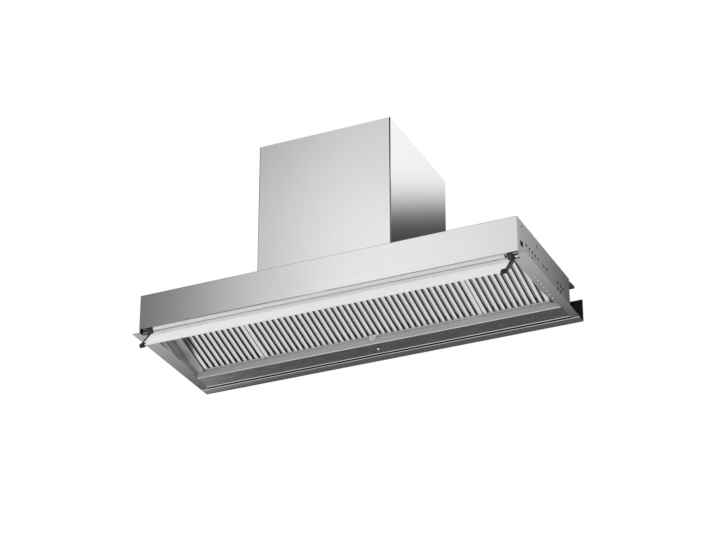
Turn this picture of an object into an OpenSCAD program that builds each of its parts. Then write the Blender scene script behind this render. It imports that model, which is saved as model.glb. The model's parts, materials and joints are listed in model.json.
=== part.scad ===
// Wall canopy hood with a chimney cover, three baffle filters and a hinged glass visor.
// Millimetres. +X right, +Y towards the wall, +Z up.
// The origin is midway between the two wall screws, on the wall plane.

/* [Canopy] */
// Width of the canopy across its two side panels
hood_w = 1200; // [960:10:1500]
// Depth of the canopy from the fascia to its rear panel
hood_d = 425; // [400:5:480]
// Height of the canopy from its underside to its top panel
body_h = 123; // [115:1:150]
// How far the underside hangs below the fascia's bottom edge
rim_drop = 12; // [9:0.5:16]
// Thickness of the stainless skin
skin_t = 1.5; // [1:0.1:2]
// Thickness of the inner sheet-metal parts
sheet_t = 1.2; // [0.8:0.1:1.6]
// Space between a side panel and the liner inside it
liner_gap = 2.5; // [1.5:0.5:6]
// Width of the flange that runs outwards along each side
flange_w = 23; // [12:1:35]
// Depth of the rear rim, from the recess wall to the rear panel
rear_rim_d = 69; // [60:1:80]
// Height of the recess wall in front of the rear rim
recess_h = 20; // [16:1:24]

/* [Wall] */
// Space between the rear panel and the wall
wall_gap = 48; // [35:1:70]
// Height of the wall screws above the underside
screw_h = 107; // [100:1:107]
// Distance from each wall screw to the canopy's side
screw_inset = 25; // [20:1:60]
// Diameter of the wall screw holes
screw_hole_d = 8; // [5:0.5:9]
// Depth of the closing strip's foot, measured from the wall
strip_leg = 35; // [24:1:40]
// Height of the closing strip's wall plate
strip_h = 72; // [50:1:90]
// Distance between the two holes in the closing strip
strip_span = 722; // [400:2:860]
// Diameter of the holes in the closing strip
strip_hole_d = 5; // [3:0.5:8]

/* [Chimney] */
// Width of the chimney cover
chimney_w = 428; // [420:2:500]
// Height of the chimney cover above the canopy
chimney_h = 420; // [390:10:700]
// How far the chimney's front stands back from the fascia
chimney_back = 3; // [2:1:12]
// Diameter of the duct spigot
duct_d = 150; // [120:5:150]
// Height of the duct spigot above the blower box
spigot_h = 50; // [40:1:70]

/* [Blower] */
// Space between the blower box and each side of the chimney cover
blower_side_gap = 49; // [46:1:55]
// Space between the blower box and the chimney cover's front, and as much behind it
blower_end_gap = 46; // [40:1:50]
// Height of the blower box
blower_h = 290; // [285:1:300]
// Radius of the impeller at its blade tips
impeller_r = 90; // [85:1:92]
// Number of blades round the impeller
blade_count = 36; // [24:1:44]
// Overall width of the impeller
impeller_w = 108; // [90:2:110]
// Growth of the scroll's radius for each quarter turn
scroll_step = 15; // [11:1:16]
// Gap between the impeller and the scroll's narrowest place
cutoff_gap = 10; // [7:1:12]
// Radius of the motor's body
motor_r = 44; // [36:1:50]
// Radius of the motor shaft
shaft_r = 4; // [3:0.5:6]

/* [Filters] */
// Width of the left and the right filter
side_filter_w = 208.9; // [180:0.1:240]
// Thickness of a filter
filter_t = 14; // [13:0.5:15]
// Distance from one baffle slot to the next
slot_pitch = 19.4; // [17:0.1:24]
// Width of a baffle slot
slot_w = 9; // [7:0.5:10]
// Thickness of the baffle sheet
baffle_t = 0.8; // [0.6:0.1:1]
// Band of the filter frame beyond the ends of the slots
end_band = 11.5; // [9:0.5:15]
// Gap between neighbouring filters
filter_gap = 1; // [0.6:0.1:2]
// Width of the rail beside the filters
rail_w = 28.6; // [24:0.1:36]
// Height of a filter's rear edge above the underside
filter_rear_z = 21.2; // [20.5:0.1:26]
// Travel of the filter latch
latch_travel = 4; // [3:0.2:4]

/* [Visor] */
// Space between each end of the visor glass and the canopy's side
visor_side_gap = 30; // [24:1:80]
// Length of the visor glass, from hinge to free edge
glass_l = 101.7; // [85:0.1:105]
// Thickness of the visor glass
glass_t = 4; // [3:0.5:4.5]
// Angle of the open visor below the horizontal
visor_angle = 48.9; // [42:0.1:60]
// Radius of the pins that carry the visor
visor_pin_r = 3.5; // [3:0.5:4.5]
// Distance of the visor's hinge behind the fascia
visor_hinge_y = 35; // [33:0.5:40]

/* [Hidden] */
$fn = 48;

// Stainless skins and inner sheets
steel = [0.80, 0.80, 0.80];
inner_steel = [0.70, 0.71, 0.72];
galvanised = [0.62, 0.64, 0.66];
black = [0.08, 0.08, 0.09];
frosted = [0.93, 0.94, 0.95, 0.6];
eps = 0.01;

// Main planes, in the canopy's own frame: x centred, y from the fascia, z from the underside
half_w = hood_w / 2;
screw_span = hood_w - 2 * screw_inset;
inner_x = half_w - skin_t;
liner_x = inner_x - liner_gap;
bay_x = liner_x - sheet_t;
wall_y = hood_d + wall_gap;
rear_in = hood_d - skin_t;
recess_y = hood_d - rear_rim_d;
roof_z = body_h - skin_t;
return_w = 12.5;
// The panels' upper returns meet under the top panel without crossing
return_x = inner_x - return_w;

// Wall bracket
web_t = 3;
bracket_h = 24;
bracket_z0 = screw_h - bracket_h / 2;
bracket_foot = 40;
wall_foot = 28;
neck_h = 6;

// Chimney and blower
chimney_z = body_h + chimney_h;
chimney_y0 = chimney_back;
chimney_mid_y = (chimney_y0 + hood_d) / 2;
blower_w = chimney_w - 2 * blower_side_gap;
blower_d = hood_d - chimney_y0 - 2 * blower_end_gap;
box_top = body_h + blower_h;
box_y0 = chimney_mid_y - blower_d / 2;
box_y1 = chimney_mid_y + blower_d / 2;
base_flange = 15;
opening_edge = 20;
opening_w = blower_w - 2 * opening_edge;
opening_d = blower_d - 2 * opening_edge;
scroll_r0 = impeller_r + cutoff_gap;
scroll_r1 = scroll_r0 + scroll_step;
scroll_r2 = scroll_r1 + scroll_step;
// The volute reaches further to its outlet side, so the shaft stands off the box's middle
scroll_left = scroll_step + scroll_r2;
scroll_right = scroll_r0;
shaft_y = chimney_mid_y + (scroll_left - scroll_right) / 2;
scroll_lift = 32;
shaft_z = body_h + scroll_lift + scroll_r1;
scroll_side_gap = 8;
scroll_half = impeller_w / 2 + scroll_side_gap;
tongue_angle = 68;
tongue_y = scroll_r0 * cos(tongue_angle);
ring_r = impeller_r + 6;
throat_r = impeller_r - 18;
plate_bore_r = throat_r + 13;
collar_r = duct_d / 2;
collar_in = collar_r - sheet_t;
collar_mid_y = shaft_y + (tongue_y - scroll_left) / 2;
flap_z = box_top + spigot_h * 0.5;
flap_pin_r = 1.5;
flap_t = 1.5;

// Filters: s runs down the slope from the front edge, n is square to it, upwards
front_drop = 19.9;
filter_y0 = 79;
filter_y1 = recess_y - 4;
filter_z0 = body_h - front_drop;
slope = atan((filter_z0 - filter_rear_z) / (filter_y1 - filter_y0));
filter_l = (filter_y1 - filter_y0) / cos(slope);
frame_t = 1.2;
lip = frame_t;
bar_r = 3;
bar_s = -6;
bar_n = 7;
bar_y = filter_y0 + bar_s * cos(slope) + bar_n * sin(slope);
bar_z = filter_z0 - bar_s * sin(slope) + bar_n * cos(slope);
hook_gap = 0.3;
hook_t = 1.6;
hook_w = 20;
side_hook_x = side_filter_w * 0.29;
bay_half = bay_x - rail_w;
centre_w = 2 * (bay_half - side_filter_w);
side_mid_x = bay_half - side_filter_w / 2;
split_x = centre_w / 2;
centre_hook_x = centre_w * 0.35;
edge_band = 17.2;

// Visor: s runs down the glass from the hinge, n is square to it, towards the front
glass_w = hood_w - 2 * visor_side_gap;
hinge_y = visor_hinge_y;
hinge_z = 7.5;
glass_n0 = 2.94;
glass_n1 = glass_n0 + glass_t;
glass_s0 = -5.64;
glass_s1 = glass_s0 + glass_l;
arm_x0 = glass_w / 2 + 1;
arm_x1 = arm_x0 + 6;
pin_gap = 0.06;
seat_gap = 0.02;
bearing_gap = 0.05;
stop_pin_r = 3;
stop_s = 13.4;
stop_n = 17.5;

// A block between two x, two y and two z values
module block(x, y, z) {
  translate([x[0], y[0], z[0]])
    cube([x[1] - x[0], y[1] - y[0], z[1] - z[0]]);
}

// A profile drawn in (y, z), carried along x from x0 to x1
module along_x(x0, x1) {
  translate([x0, 0, 0])
    rotate([90, 0, 90])
      linear_extrude(x1 - x0) children();
}

// A rod along x
module rod_x(x0, x1, y, z, r) {
  translate([x0, y, z])
    rotate([0, 90, 0]) cylinder(r = r, h = x1 - x0);
}

// A rod along y
module rod_y(y0, y1, x, z, r) {
  translate([x, y0, z])
    rotate([-90, 0, 0]) cylinder(r = r, h = y1 - y0);
}

// A rod along z
module rod_z(z0, z1, x, y, r) {
  translate([x, y, z0]) cylinder(r = r, h = z1 - z0);
}

// The canopy's frame moved to the origin between the wall screws
module hung() {
  translate([0, -wall_y, -screw_h]) children();
}

// side is 1 for the right and -1 for the left
module on_side(side) {
  if (side > 0) children();
  else mirror([1, 0, 0]) children();
}

module both_sides() {
  children();
  mirror([1, 0, 0]) children();
}

// The filters' frame: x stays, y becomes s and z becomes n
module on_slope() {
  translate([0, filter_y0, filter_z0])
    rotate([-slope, 0, 0]) children();
}

// The visor's frame: y becomes s along the glass and z becomes n
module on_visor() {
  translate([0, hinge_y, hinge_z])
    rotate([visor_angle - 180, 0, 0]) mirror([0, 0, 1]) children();
}

// Front of the canopy: a C of sheet, open to the rear
module fascia() {
  color(steel) hung() {
    block([-half_w, half_w], [0, skin_t], [rim_drop, body_h]);
    block([-inner_x, inner_x], [skin_t - eps, return_w + skin_t], [roof_z - skin_t, roof_z]);
    // The lower return is cut short at both ends, over the visor's arms
    block([-inner_x, inner_x], [skin_t - eps, notch_y], [rim_drop, rim_drop + skin_t]);
    block([-half_w + rim_end, half_w - rim_end], [skin_t - eps, return_w + skin_t],
          [rim_drop, rim_drop + skin_t]);
  }
}

// Rim under the fascia, stopped short of both ends for the visor's arms
rim_end = 45;
notch_y = 5;
module front_rim() {
  color(steel) hung()
    along_x(-half_w + rim_end, half_w - rim_end) polygon([
      [skin_t * 2, 0], [skin_t * 3, 0], [skin_t * 3, rim_drop - skin_t],
      [return_w + skin_t, rim_drop - skin_t], [return_w + skin_t, rim_drop], [skin_t * 2, rim_drop]
    ]);
}

// Hole rows that take accessories, counted in steps of row_pitch from row_y0
row_pitch = 23;
row_y0 = 70;
row_hole_r = 3.5;
upper_row_z = 62;
lower_row_z = 42;
upper_row = [0, 1, 2, 3, 4, 6, 7, 11, 12, 13];
lower_row = [11, 12];
small_holes = [[154, 100], [113, 43], [38, 108]];
small_hole_r = 2.5;
cutout_y = [21, 42];
cutout_z = [41, 57];

module side_panel(side) {
  color(galvanised) hung() on_side(side) difference() {
    union() {
      block([inner_x, half_w], [skin_t, hood_d], [0, body_h]);
      block([inner_x, half_w + flange_w], [0, wall_y - strip_leg], [0, skin_t]);
      block([return_x, inner_x + eps], [return_w + skin_t * 2, rear_in - 1], [roof_z - skin_t, roof_z]);
    }
    block([inner_x - 1, half_w + 1], cutout_y, cutout_z);
    block([inner_x - 1, half_w + eps], [-1, skin_t], [-1, rim_drop]);
    for (i = upper_row)
      rod_x(inner_x - 1, half_w + 1, row_y0 + row_pitch * i, upper_row_z, row_hole_r);
    for (i = lower_row)
      rod_x(inner_x - 1, half_w + 1, row_y0 + row_pitch * i, lower_row_z, row_hole_r);
    for (p = small_holes)
      rod_x(inner_x - 1, half_w + 1, p[0], p[1], small_hole_r);
  }
}

// Inner skin beside the filters, hemmed out to the side panel along the underside
module inner_liner(side) {
  color(inner_steel) hung() on_side(side) difference() {
    union() {
      block([bay_x, liner_x], [return_w + skin_t * 2, rear_in], [0, roof_z - skin_t]);
      block([liner_x - eps, inner_x], [return_w + skin_t * 2, rear_in], [0, sheet_t]);
      block([liner_x - eps, inner_x], [return_w + skin_t * 2, rear_in],
            [roof_z - skin_t - sheet_t, roof_z - skin_t]);
    }
    rod_x(bay_x - 1, liner_x + 1, hinge_y, hinge_z, visor_pin_r + seat_gap);
    rod_x(bay_x - 1, liner_x + 1, stop_y, stop_z, stop_pin_r + seat_gap);
  }
}

// Top of the canopy, with the opening that the blower draws through
module top_panel() {
  color(galvanised) hung() difference() {
    block([-inner_x, inner_x], [skin_t, rear_in], [roof_z, body_h]);
    block([-opening_w / 2, opening_w / 2],
          [chimney_mid_y - opening_d / 2, chimney_mid_y + opening_d / 2], [roof_z - 1, body_h + 1]);
  }
}

// Rear of the canopy, flanged forwards at its top and bottom
module rear_panel() {
  color(galvanised) hung() difference() {
    union() {
      block([-inner_x, inner_x], [rear_in, hood_d], [0, body_h]);
      block([-return_x + 1, return_x - 1], [rear_in - return_w, rear_in + eps], [roof_z - skin_t, roof_z]);
    }
    both_sides() for (x = bolt_x)
      rod_y(rear_in - 1, hood_d + 1, x, screw_h, bolt_r + 0.2);
  }
}

// Recess wall and rear rim behind the filters, folded from one sheet
button_x = 0;
button_y = hood_d - 33;
button_r = 4;
bezel_r = 5;
module rear_channel() {
  color(inner_steel) hung() difference() {
    along_x(-bay_x, bay_x) polygon([
      [recess_y, 0], [rear_in, 0], [rear_in, 18], [rear_in - sheet_t, 18],
      [rear_in - sheet_t, sheet_t], [recess_y + sheet_t, sheet_t],
      [recess_y + sheet_t, recess_h - sheet_t], [recess_y + 14, recess_h - sheet_t],
      [recess_y + 14, recess_h], [recess_y, recess_h]
    ]);
    rod_z(-1, sheet_t + 1, button_x, button_y, bezel_r + 0.1);
  }
}

// Angle strip that closes the space between the canopy and the wall
module closing_strip() {
  color(steel) hung() difference() {
    along_x(-half_w - flange_w, half_w + flange_w) polygon([
      [wall_y - strip_leg, 0], [wall_y, 0], [wall_y, strip_h], [wall_y - skin_t, strip_h],
      [wall_y - skin_t, skin_t], [wall_y - strip_leg, skin_t]
    ]);
    both_sides()
      rod_z(-1, skin_t + 1, strip_span / 2, wall_y - strip_hole_back, strip_hole_d / 2);
  }
}
strip_hole_back = 13;

// Plates that tie the side flanges to the closing strip
plate_w = 16;
plate_lap = 16;
module corner_plates() {
  color(steel) hung() both_sides() {
    block([half_w + 3, half_w + 3 + min(plate_w, flange_w - 4)],
          [wall_y - strip_leg - plate_lap, wall_y - strip_leg + plate_lap], [skin_t, skin_t * 2]);
    for (y = [-plate_lap / 2, plate_lap / 2])
      rod_z(skin_t * 2, skin_t * 2 + 1.2, half_w + 3 + min(plate_w, flange_w - 4) / 2,
            wall_y - strip_leg + y, 2.5);
  }
}

// Bracket that hangs one rear corner of the canopy on its wall screw
bolt_x = [screw_span / 2 - 8, screw_span / 2 + 8];
bolt_r = 2.5;
module wall_bracket(side) {
  foot_x0 = screw_span / 2 - bracket_foot / 2;
  top_z = screw_h + bracket_h / 2;
  neck_z = top_z - neck_h;
  color(black) hung() on_side(side) difference() {
    union() {
      // Web between the two feet, narrowing to a neck at the wall
      along_x(half_w - web_t, half_w) polygon([
        [hood_d, bracket_z0 - 4], [hood_d + wall_gap * 0.45, neck_z - neck_h * 1.8],
        [wall_y - neck_h, neck_z], [wall_y, neck_z], [wall_y, top_z],
        [wall_y - neck_h, top_z + 1], [hood_d, top_z - 3]
      ]);
      // Foot on the wall, hung from the neck, and foot on the rear panel
      block([foot_x0, foot_x0 + wall_foot], [wall_y - web_t, wall_y], [bracket_z0, top_z]);
      block([foot_x0, half_w], [wall_y - web_t, wall_y], [neck_z, top_z]);
      block([foot_x0, half_w], [hood_d, hood_d + web_t], [bracket_z0 - 4, top_z - 3]);
    }
    rod_y(wall_y - web_t - 1, wall_y + 1, screw_span / 2, screw_h, screw_hole_d / 2);
    for (x = bolt_x) rod_y(hood_d - 1, hood_d + web_t + 1, x, screw_h, bolt_r + 0.2);
  }
}

// Bolts that hold the wall brackets to the rear panel
module bracket_bolts() {
  color(galvanised) hung() both_sides() for (x = bolt_x) {
    rod_y(rear_in - 3, hood_d + web_t, x, screw_h, bolt_r);
    rod_y(hood_d + web_t, hood_d + web_t + 3, x, screw_h, bolt_r + 2);
    rod_y(rear_in - 3, rear_in, x, screw_h, bolt_r + 2);
  }
}

// Sloping wall from the fascia up to the filters' front edge
plenum_y = filter_y0 - 11;
plenum_z = filter_z0 + 7;
module front_plenum() {
  foot_z = rim_drop + skin_t;
  slope_y0 = return_w + skin_t * 2;
  color(inner_steel) hung() difference() {
    along_x(-bay_x, bay_x) polygon([
      [skin_t, foot_z], [slope_y0, foot_z], [plenum_y, plenum_z], [plenum_y, roof_z],
      [plenum_y - return_w, roof_z], [plenum_y - return_w, roof_z - sheet_t],
      [plenum_y - sheet_t, roof_z - sheet_t], [plenum_y - sheet_t, plenum_z + sheet_t / 2],
      [slope_y0 - sheet_t / 2, foot_z + sheet_t], [skin_t, foot_z + sheet_t]
    ]);
    both_sides() {
      block([half_w - rim_end, half_w], [0, stop_y + 8], [0, stop_z + 8]);
      block([return_x - 1, half_w], [0, hood_d], [roof_z - skin_t, body_h]);
    }
  }
}

// Round bar that the filters hook over, on four hangers under the top panel
hanger_t = 3;
hanger_x = [-bay_half - 2 - hanger_t, -split_x - hanger_t / 2, split_x - hanger_t / 2, bay_half + 2];
module filter_hook_bar() {
  color(galvanised) hung() union() {
    rod_x(-bay_x, bay_x, bar_y, bar_z, bar_r);
    for (x = hanger_x)
      block([x, x + hanger_t], [plenum_y, bar_y + bar_r], [bar_z, roof_z]);
  }
}

// Channel beside the filters, in their plane, with its row of rivets
rivet_count = 7;
rivet_pitch = 18;
rivet_r = 2.2;
rail_web = 14;
module filter_rail(side) {
  rail_l = (recess_y - 0.3 - filter_y0) / cos(slope);
  color(inner_steel) hung() on_side(side) on_slope() {
    block([bay_half + 0.5, bay_x], [0, rail_l], [0, sheet_t]);
    block([bay_half + 0.5, bay_half + 0.5 + sheet_t], [0, rail_l], [0, rail_web]);
    block([bay_x - sheet_t, bay_x], [4, rail_l], [0, rail_web]);
    for (i = [0:rivet_count - 1])
      translate([bay_half + 8, rail_l - 18 - i * rivet_pitch, 0])
        rotate([180, 0, 0]) cylinder(r1 = rivet_r, r2 = rivet_r * 0.6, h = 0.8);
  }
}

// Chimney cover: front and two sides, open at the back, the top and the bottom
module chimney_cover() {
  w = chimney_w / 2;
  color(steel) hung() difference() {
    linear_z(body_h, chimney_z) polygon([
      [-w, chimney_y0], [w, chimney_y0], [w, hood_d], [w - return_w, hood_d],
      [w - return_w, hood_d - sheet_t], [w - sheet_t, hood_d - sheet_t],
      [w - sheet_t, chimney_y0 + sheet_t], [-w + sheet_t, chimney_y0 + sheet_t],
      [-w + sheet_t, hood_d - sheet_t], [-w + return_w, hood_d - sheet_t],
      [-w + return_w, hood_d], [-w, hood_d]
    ]);
    for (y = foot_screw_y)
      rod_x(-w - 1, w + 1, y, foot_screw_z, foot_screw_r + 0.2);
  }
}
foot_screw_y = [chimney_y0 + 60, hood_d - 60];
foot_screw_z = body_h + 14;
foot_screw_r = 2;

// A profile drawn in (x, y), carried up from z0 to z1
module linear_z(z0, z1) {
  translate([0, 0, z0]) linear_extrude(z1 - z0) children();
}

// Angles that the chimney cover slides over
angle_w = 25;
angle_inset = 40;
module chimney_foot_angles() {
  w = chimney_w / 2 - sheet_t;
  color(galvanised) hung() both_sides() difference() {
    union() {
      block([w - angle_w, w], [chimney_y0 + angle_inset, hood_d - angle_inset], [body_h, body_h + skin_t]);
      block([w - skin_t, w], [chimney_y0 + angle_inset, hood_d - angle_inset], [body_h, body_h + angle_w]);
    }
    for (y = foot_screw_y)
      rod_x(w - skin_t - 1, w + 1, y, foot_screw_z, foot_screw_r + 0.1);
  }
}

// Bracket that holds the top of the chimney cover to the wall
cb_h = 24;
cb_t = 2;
cb_inset = 10;
cb_drop = 30;
cb_reach = 30;
cb_screw_inset = 60;
module chimney_wall_bracket() {
  w = chimney_w / 2 - sheet_t;
  leg_x = w - return_w - cb_inset;
  z1 = chimney_z - cb_drop;
  color(galvanised) hung() difference() {
    union() {
      block([-leg_x - cb_t, leg_x + cb_t], [wall_y - cb_t, wall_y], [z1 - cb_h, z1]);
      both_sides() {
        block([leg_x, leg_x + cb_t], [hood_d - cb_reach, wall_y - cb_t / 2], [z1 - cb_h, z1]);
        block([leg_x, w], [hood_d - cb_reach - cb_t, hood_d - cb_reach], [z1 - cb_h, z1]);
      }
    }
    both_sides()
      rod_y(wall_y - cb_t - 1, wall_y + 1, chimney_w / 2 - cb_screw_inset, z1 - cb_h / 2, strip_hole_d / 2);
  }
}

// Screws through the foot of the chimney cover
module chimney_screws() {
  color(galvanised) hung() both_sides() for (y = foot_screw_y) {
    rod_x(chimney_w / 2 - sheet_t - skin_t - 4, chimney_w / 2, y, foot_screw_z, foot_screw_r);
    rod_x(chimney_w / 2, chimney_w / 2 + 1.6, y, foot_screw_z, foot_screw_r + 1.8);
  }
}

// Sheet box over the opening, with the outlet for the duct
module blower_box() {
  w = blower_w / 2;
  color(galvanised) hung() difference() {
    union() {
      block([-w, w], [box_y0, box_y1], [body_h, box_top]);
      block([-w - base_flange, w + base_flange], [box_y0 - base_flange, box_y1 + base_flange],
            [body_h, body_h + skin_t]);
    }
    block([-w + sheet_t, w - sheet_t], [box_y0 + sheet_t, box_y1 - sheet_t],
          [body_h - 1, box_top - sheet_t]);
    rod_z(box_top - sheet_t - 1, box_top + 1, 0, collar_mid_y, collar_in);
    for (x = [-w - 7, w + 7], y = [box_y0 - 7, box_y1 + 7])
      rod_z(body_h - 1, body_h + 3, x, y, 2.5);
  }
}

// Quarter of the scroll's curved wall about (cy, cz), inside a window given by two corners
scroll_t = 1.2;
module scroll_arc(cy, cz, r, low, high) {
  intersection() {
    difference() {
      translate([cy, cz]) circle(r = r + scroll_t, $fn = 96);
      translate([cy, cz]) circle(r = r, $fn = 96);
    }
    translate(low) square(high - low);
  }
}

// Scroll of the double-inlet blower: two side plates and the growing wall between them
plate_lip = 2;
scroll_reach = 2 * scroll_r2;
module blower_scroll() {
  top = box_top - sheet_t - shaft_z;
  edge = scroll_t + plate_lip;
  left = -scroll_left - edge;
  right = scroll_r0 + edge;
  bottom = -scroll_r1 - edge;
  color(galvanised) hung() translate([0, shaft_y, shaft_z]) difference() {
    union() {
      along_x(-scroll_half, scroll_half) {
        // Narrow quarter by the tongue, cut off where the outlet begins
        scroll_arc(0, 0, scroll_r0, [tongue_y, 0], [scroll_reach, scroll_reach]);
        scroll_arc(-scroll_step, 0, scroll_r1, [-scroll_step, -scroll_reach], [scroll_reach, 0]);
        scroll_arc(-scroll_step, scroll_step, scroll_r2,
                   [-scroll_reach, -scroll_reach], [-scroll_step, scroll_step]);
        // The outlet's two straight walls
        translate([-scroll_left - scroll_t, scroll_step]) square([scroll_t, top - scroll_step]);
        translate([tongue_y, scroll_r0 * sin(tongue_angle)])
          square([scroll_t, top - scroll_r0 * sin(tongue_angle)]);
      }
      for (x = [-scroll_half - scroll_t, scroll_half])
        along_x(x, x + scroll_t) polygon([
          [left, bottom + scroll_r2 / 2], [left + scroll_r2 / 2, bottom],
          [right - scroll_r1 / 2, bottom], [right, bottom + scroll_r1 / 2],
          [right, right - scroll_r0 / 2], [right - scroll_r0 / 2, right],
          [tongue_y + edge, right], [tongue_y + edge, top], [left, top]
        ]);
    }
    rod_x(-scroll_half - 5, scroll_half + 5, 0, 0, plate_bore_r);
  }
}

// Bellmouth rings on the scroll's two inlets
module inlet_rings() {
  curl = plate_bore_r - throat_r - 1;
  face = scroll_half + scroll_t;
  color(inner_steel) hung() translate([0, shaft_y, shaft_z]) both_sides()
    rotate([0, 90, 0]) rotate_extrude($fn = 96) {
      translate([throat_r + curl, face]) square([ring_r - throat_r - curl, sheet_t]);
      difference() {
        intersection() {
          translate([throat_r + curl, face + sheet_t - curl]) circle(r = curl);
          translate([throat_r, face + sheet_t - curl]) square([curl, curl]);
        }
        translate([throat_r + curl, face + sheet_t - curl]) circle(r = curl - sheet_t);
      }
    }
}

// Motor inside the impeller, with finned body, end caps and bearing bosses
motor_x0 = 12;
motor_x1 = scroll_half + motor_r / 2;
motor_cap = 8;
motor_rim = 4;
boss_r = shaft_r + 7;
fin_count = 16;
fin_t = 2;
module motor() {
  color(black) hung() translate([0, shaft_y, shaft_z]) difference() {
    union() {
      rod_x(motor_x0, motor_x1, 0, 0, motor_r - 3);
      for (x = [motor_x0 + motor_cap, motor_x1 - motor_cap - motor_rim])
        rod_x(x, x + motor_rim, 0, 0, motor_r);
      rod_x(motor_x0 - 3, motor_x1 + 3, 0, 0, boss_r);
      for (i = [0:fin_count - 1])
        rotate([i * 360 / fin_count, 0, 0])
          block([motor_x0 + motor_cap, motor_x1 - motor_cap], [motor_r - 5, motor_r - 0.5],
                [-fin_t / 2, fin_t / 2]);
    }
    rod_x(motor_x0 - 5, motor_x1 + 5, 0, 0, shaft_r + bearing_gap);
  }
}

// Three-armed mount that holds the motor to the inlet ring
mount_x = scroll_half + scroll_t + sheet_t;
mount_arm_w = 10;
mount_arm_t = 3;
mount_foot_h = 6;
module motor_mount() {
  foot_r = ring_r - mount_arm_w / 2;
  arm_x = mount_x + mount_foot_h;
  color(galvanised) hung() translate([0, shaft_y, shaft_z]) difference() {
    union() {
      rod_x(arm_x, arm_x + mount_arm_t + 1, 0, 0, motor_r + 4);
      for (i = [0:2]) rotate([i * 120 + 90, 0, 0]) {
        block([arm_x, arm_x + mount_arm_t], [motor_r + 1, foot_r], [-mount_arm_w / 2, mount_arm_w / 2]);
        rod_x(mount_x, arm_x + mount_arm_t, foot_r, 0, mount_arm_w / 2);
      }
    }
    rod_x(mount_x - 1, arm_x + mount_arm_t + 10, 0, 0, motor_r + 0.1);
  }
}

module motor_shaft() {
  color(steel) hung() translate([0, shaft_y, shaft_z])
    rod_x(-16, motor_x1 + motor_cap, 0, 0, shaft_r);
}

// Double-width impeller: a slotted centre disc on the shaft and two end rings
blade_in_r = impeller_r - 14;
blade_out_r = impeller_r - 0.2;
blade_arc_r = 12;
blade_t = 0.9;
end_ring_w = 2;
disc_r = impeller_r - 5;
disc_t = 2;
hub_r = shaft_r + 7;
module impeller() {
  color(galvanised) hung() translate([0, shaft_y, shaft_z]) {
    difference() {
      union() {
        rod_x(-disc_t / 2, disc_t / 2, 0, 0, disc_r);
        rod_x(-12, 6, 0, 0, hub_r);
      }
      rod_x(-20, 20, 0, 0, shaft_r + seat_gap);
      for (i = [0:blade_count - 1])
        rotate([i * 360 / blade_count, 0, 0]) along_x(-disc_t, disc_t) blade(seat_gap);
    }
    for (x = [-impeller_w / 2, impeller_w / 2 - end_ring_w]) difference() {
      rod_x(x, x + end_ring_w, 0, 0, impeller_r + 1);
      rod_x(x - 1, x + end_ring_w + 1, 0, 0, blade_in_r);
    }
  }
}

// Forward-curved blades, which stand in the disc's slots between the two rings
module impeller_blades() {
  color(galvanised) hung() translate([0, shaft_y, shaft_z])
    for (i = [0:blade_count - 1])
      rotate([i * 360 / blade_count, 0, 0])
        along_x(-impeller_w / 2 + end_ring_w, impeller_w / 2 - end_ring_w) blade(0);
}

// One blade: the arc of sheet between the inner and the outer radius, grown by g
module blade(g) {
  intersection() {
    difference() {
      translate([blade_in_r + 7, -9]) circle(r = blade_arc_r + g);
      translate([blade_in_r + 7, -9]) circle(r = blade_arc_r - blade_t - g);
    }
    translate([blade_in_r - g, -4]) square([blade_out_r - blade_in_r + 2 * g, 8]);
  }
}

// Spigot for the duct, with the stop ring that the flaps close on
collar_flange = 15;
stop_ring_h = 2;
stop_ring_w = 3;
module duct_collar() {
  color(galvanised) hung() translate([0, collar_mid_y, 0]) difference() {
    union() {
      rod_z(box_top, box_top + spigot_h, 0, 0, collar_r);
      rod_z(box_top, box_top + sheet_t, 0, 0, collar_r + collar_flange);
    }
    rod_z(box_top - 1, flap_z - flap_t / 2 - 0.3 - stop_ring_h, 0, 0, collar_in);
    rod_z(box_top - 1, box_top + spigot_h + 1, 0, 0, collar_in - stop_ring_w);
    rod_z(flap_z - flap_t / 2 - 0.3, box_top + spigot_h + 1, 0, 0, collar_in);
    rod_y(-collar_r - 1, collar_r + 1, 0, flap_z, flap_pin_r + 0.03);
  }
}

// Half-round non-return flap on its knuckles
knuckle_w = 16;
module flap(side) {
  reach = collar_in - 0.8;
  knuckles = side > 0 ? [-44, 28] : [-26, 10];
  color(inner_steel) hung() translate([0, collar_mid_y, flap_z]) difference() {
    union() {
      on_side(side) difference() {
        rod_z(-flap_t / 2, flap_t / 2, 0, 0, reach);
        block([-200, flap_pin_r + 2.1], [-200, 200], [-5, 5]);
      }
      for (y = knuckles) {
        rod_y(y, y + knuckle_w, 0, 0, flap_pin_r + 1.5);
        on_side(side)
          block([0, flap_pin_r + 3], [y, y + knuckle_w], [-flap_t / 2, flap_t / 2]);
      }
    }
    rod_y(-200, 200, 0, 0, flap_pin_r + 0.06);
  }
}

module flap_pin() {
  // Its ends stay inside the spigot's skin, so a duct slides past them
  reach = collar_r - 0.3;
  color(steel) hung() rod_y(collar_mid_y - reach, collar_mid_y + reach, 0, flap_z, flap_pin_r);
}

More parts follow.
